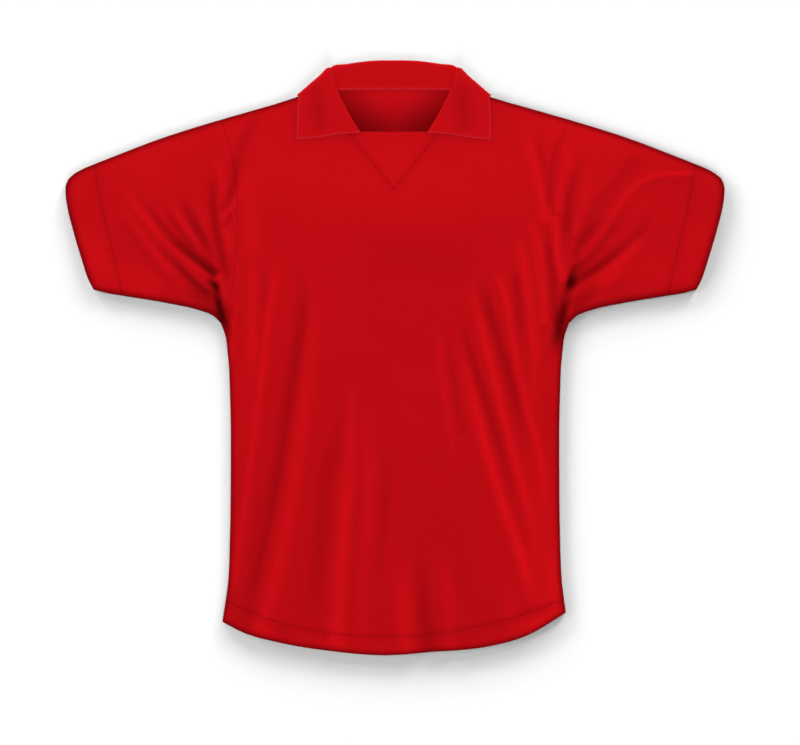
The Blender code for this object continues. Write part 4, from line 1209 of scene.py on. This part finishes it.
def knit_height(tree, knit):
    """Height of knitted loops, 0 to 1: two slanting legs for each wale."""
    place = add_node(tree, "SeparateXYZ", {0: attribute_node(tree, "knit", "Vector")})
    wale = value_node(tree, "DIVIDE", place["X"], knit.wale)
    course = value_node(tree, "DIVIDE", place["Y"], knit.course)
    legs = value_node(tree, "SINE", value_node(tree, "MULTIPLY", wale, 2 * math.pi))
    legs = value_node(tree, "MULTIPLY", legs, legs)
    slant = value_node(tree, "ADD", course, value_node(tree, "PINGPONG", wale, 0.5))
    loops = value_node(tree, "SINE", value_node(tree, "MULTIPLY", slant, math.pi))
    loops = value_node(tree, "MULTIPLY_ADD", value_node(tree, "ABSOLUTE", loops), 0.5, 0.5)
    return value_node(tree, "MULTIPLY", legs, loops)


def new_material(name):
    material = bpy.data.materials.new(name)
    material.use_nodes = True
    return material, material.node_tree, material.node_tree.nodes["Principled BSDF"]


def cloth_material(name, colour, knit):
    """Knitted polyester: matt, deep red, with a trace of sheen and faint unevenness."""
    material, tree, surface = new_material(name)
    height = knit_height(tree, knit)
    value = value_node(tree, "MULTIPLY", noise_node(tree, PATCHY), noise_node(tree, YARN))
    # the colour is darkened by painted shade in the knit's hollows and by each piece's painted
    # light and shade
    for share in (value_node(tree, "MULTIPLY_ADD", height, *PAINTED_LOOP_SHADE),
                  attribute_node(tree, "painted_shade")):
        value = value_node(tree, "MULTIPLY", value, share)
    # the collar's edges are mixed towards a painted highlight
    blend = add_node(tree, "Mix", {"A": colour, "B": RIM_HIGHLIGHT_RED,
                                   "Factor": attribute_node(tree, "rim_highlight")}, data_type="RGBA")
    shaded = add_node(tree, "HueSaturation", {"Color": blend["Result"], "Value": value})
    bump = add_node(tree, "Bump", {"Strength": KNIT_STRENGTH, "Distance": knit.depth,
                                   "Height": height})
    set_inputs(tree, surface, {"Base Color": shaded["Color"], "Normal": bump["Normal"],
                               "Roughness": noise_node(tree, POLISH), **CLOTH_SHINE})
    return material


def thread_material(name, colour):
    """Twisted sewing thread."""
    material, tree, surface = new_material(name)
    shaded = add_node(tree, "HueSaturation", {"Color": colour, "Value": noise_node(tree, TWIST)})
    set_inputs(tree, surface, {"Base Color": shaded["Color"], **THREAD_SHINE})
    return material


# ================================================================ garment
def area_of(piece):
    """Flat area of one face of a piece's cloth, in square metres."""
    return sum(face.area for face in piece.data.polygons) / 2


def declare(piece, node, flat):
    """The piece stands for its solid, which is hidden."""
    area = area_of(piece)
    width, length = flat
    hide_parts(node)
    max(length, area / width)


red = {name: cloth_material(name, RED, CLOTH_KNIT)
       for name in ("front_knit", "back_knit", "sleeve_knit", "cuff_knit", "insert_knit")}
collar_red = cloth_material("collar_rib", COLLAR_RED, COLLAR_KNIT)
hem_thread = thread_material("hem_thread", HEM_THREAD_RED)
seam_thread = thread_material("seam_thread", SEAM_THREAD_RED)

front = front_panel(red["front_knit"])
back = back_panel(red["back_knit"])
declare(back, "back_panel", FLATS["back_panel"])
declare(front, "front_panel", FLATS["front_panel"])
for garment_side, side_name in ((-1, "left"), (1, "right")):
    for kind in ("sleeve", "cuff"):
        node = f"{kind}_{side_name}"
        piece = tube(kind, garment_side, f"{node}_cloth", red[f"{kind}_knit"])
        declare(piece, node, FLATS[kind])
declare(insert(red["insert_knit"]), "neck_insert", FLATS["neck_insert"])
collar_piece = collar(collar_red)
declare(collar_piece, "collar", FLATS["collar"])

hem_row = HEM_STITCH.part(HEM_THREAD_INSET, HEM_THREAD_INSET)
stitching("hem_stitches_front", hem_row, front_height, HEM_THREAD, hem_thread)
stitching("hem_stitches_back", hem_row, back_height, HEM_THREAD, hem_thread, upward=-1)
for garment_side, side_name, seam in zip((-1, 1), ("left", "right"), NECK_EDGES):
    row = seam.moved(-garment_side * SEAM_THREAD_OFFSET)
    row = row.part(SEAM_THREAD_SPAN[0], row.length - SEAM_THREAD_SPAN[1])
    stitching(f"v_stitches_{side_name}", row, front_height, SEAM_THREAD, seam_thread)

# ================================================================ stage
PHOTO_WIDTH = 800
METRES_PER_PIXEL = 1.33 * MM             # of the photo
VIEW_CENTRE = Point(6.65, -19.8)         # the garment's origin is a little off the middle
LENS = 100.0
SENSOR = 36.0
FLOOR_REACH = 15.0
KEY_PLACE = (-0.1, 3.2, 3.2)
KEY_SIZE = 1.7
KEY_POWER = 148
WORLD_LEVEL = 0.50
FLOOR_WASHES = (                # low lights that draw the soft shadow on the floor
    Wash("wash_low_top", 60, 5.5, 12, 1.08),
    Wash("wash_low_head", 90, 5.5, 12, 0.80),
    Wash("wash_top", 60, 13, 17, 1.26),
    Wash("wash_low_mid", 120, 5.5, 12, 1.22),
    Wash("wash_low_side", 150, 5.5, 12, 0.94),
    Wash("wash_side", 178, 14, 20, 1.25),
    Wash("wash_low_back", 210, 7, 12, 0.43),
    Wash("wash_back", -60, 13, 20, 0.20),
)
COLLAR_WASH = Wash("wash_collar", -88, 20, 36, 2.00)    # the collar throws a shadow of this


def stage_floor():
    """A plain floor, so wide that its corners don't show from the side."""
    corners = ((-1, -1, 0), (1, -1, 0), (1, 1, 0), (-1, 1, 0))
    points = FLOOR_REACH * np.array(corners)
    material, tree, surface = new_material("pale_floor")
    set_inputs(tree, surface, FLOOR_FINISH)
    floor = new_mesh("floor", points, [(0, 1, 2, 3)], material)
    return floor


def linked(name, thing, state):
    """A collection that makes a lamp light only one thing, or everything but that."""
    group = bpy.data.collections.new(name)
    group.objects.link(thing)
    group.collection_objects[0].light_linking.link_state = state
    return group


def lit_by(lamp, receivers, blockers):
    """Puts a lamp in the scene, with the things it lights and those that throw its shadow."""
    lamp.light_linking.receiver_collection = receivers
    lamp.light_linking.blocker_collection = blockers
    bpy.context.scene.collection.objects.link(lamp)


def far_light(name, azimuth, elevation, width, level):
    """A soft light far away; level is how much it lights a flat floor.

    Azimuth is that of the side it comes from, anticlockwise from +X, and width is how
    wide the lamp looks.
    """
    light = bpy.data.lights.new(name, "SUN")
    light.angle = math.radians(width)
    light.energy = level / math.sin(math.radians(elevation))
    lamp = bpy.data.objects.new(name, light)
    lamp.rotation_euler = (math.radians(90 - elevation), 0, math.radians(azimuth + 90))
    return lamp


def soft_box(name, place, size, power):
    """A square lamp that looks at the middle of the garment."""
    light = bpy.data.lights.new(name, "AREA")
    light.size = size
    light.energy = power
    lamp = bpy.data.objects.new(name, light)
    lamp.location = place
    lamp.rotation_euler = (-Vector(place)).to_track_quat("-Z", "Y").to_euler()
    return lamp


def stage_camera():
    lens = bpy.data.cameras.new("camera")
    lens.lens = LENS
    lens.sensor_width = SENSOR
    camera = bpy.data.objects.new("camera", lens)
    height = PHOTO_WIDTH * METRES_PER_PIXEL * LENS / SENSOR
    camera.location = (VIEW_CENTRE.x * MM, VIEW_CENTRE.y * MM, height + FRONT_LEVEL)
    bpy.context.scene.collection.objects.link(camera)
    bpy.context.scene.camera = camera


floor = stage_floor()
all_but_floor = linked("all_but_floor", floor, "EXCLUDE")
only_floor = linked("only_floor", floor, "INCLUDE")
all_but_collar = linked("all_but_collar", collar_piece, "EXCLUDE")
lit_by(soft_box("key", KEY_PLACE, KEY_SIZE, KEY_POWER), all_but_floor, all_but_collar)
for wash in FLOOR_WASHES:
    lit_by(far_light(*wash), only_floor, all_but_collar)
lit_by(far_light(*COLLAR_WASH), only_floor, None)
world = bpy.data.worlds.new("studio")
world.use_nodes = True
set_inputs(world.node_tree, world.node_tree.nodes["Background"],
           {"Color": (1, 1, 1, 1), "Strength": WORLD_LEVEL})
bpy.context.scene.world = world
bpy.context.scene.view_settings.view_transform = "Standard"
stage_camera()
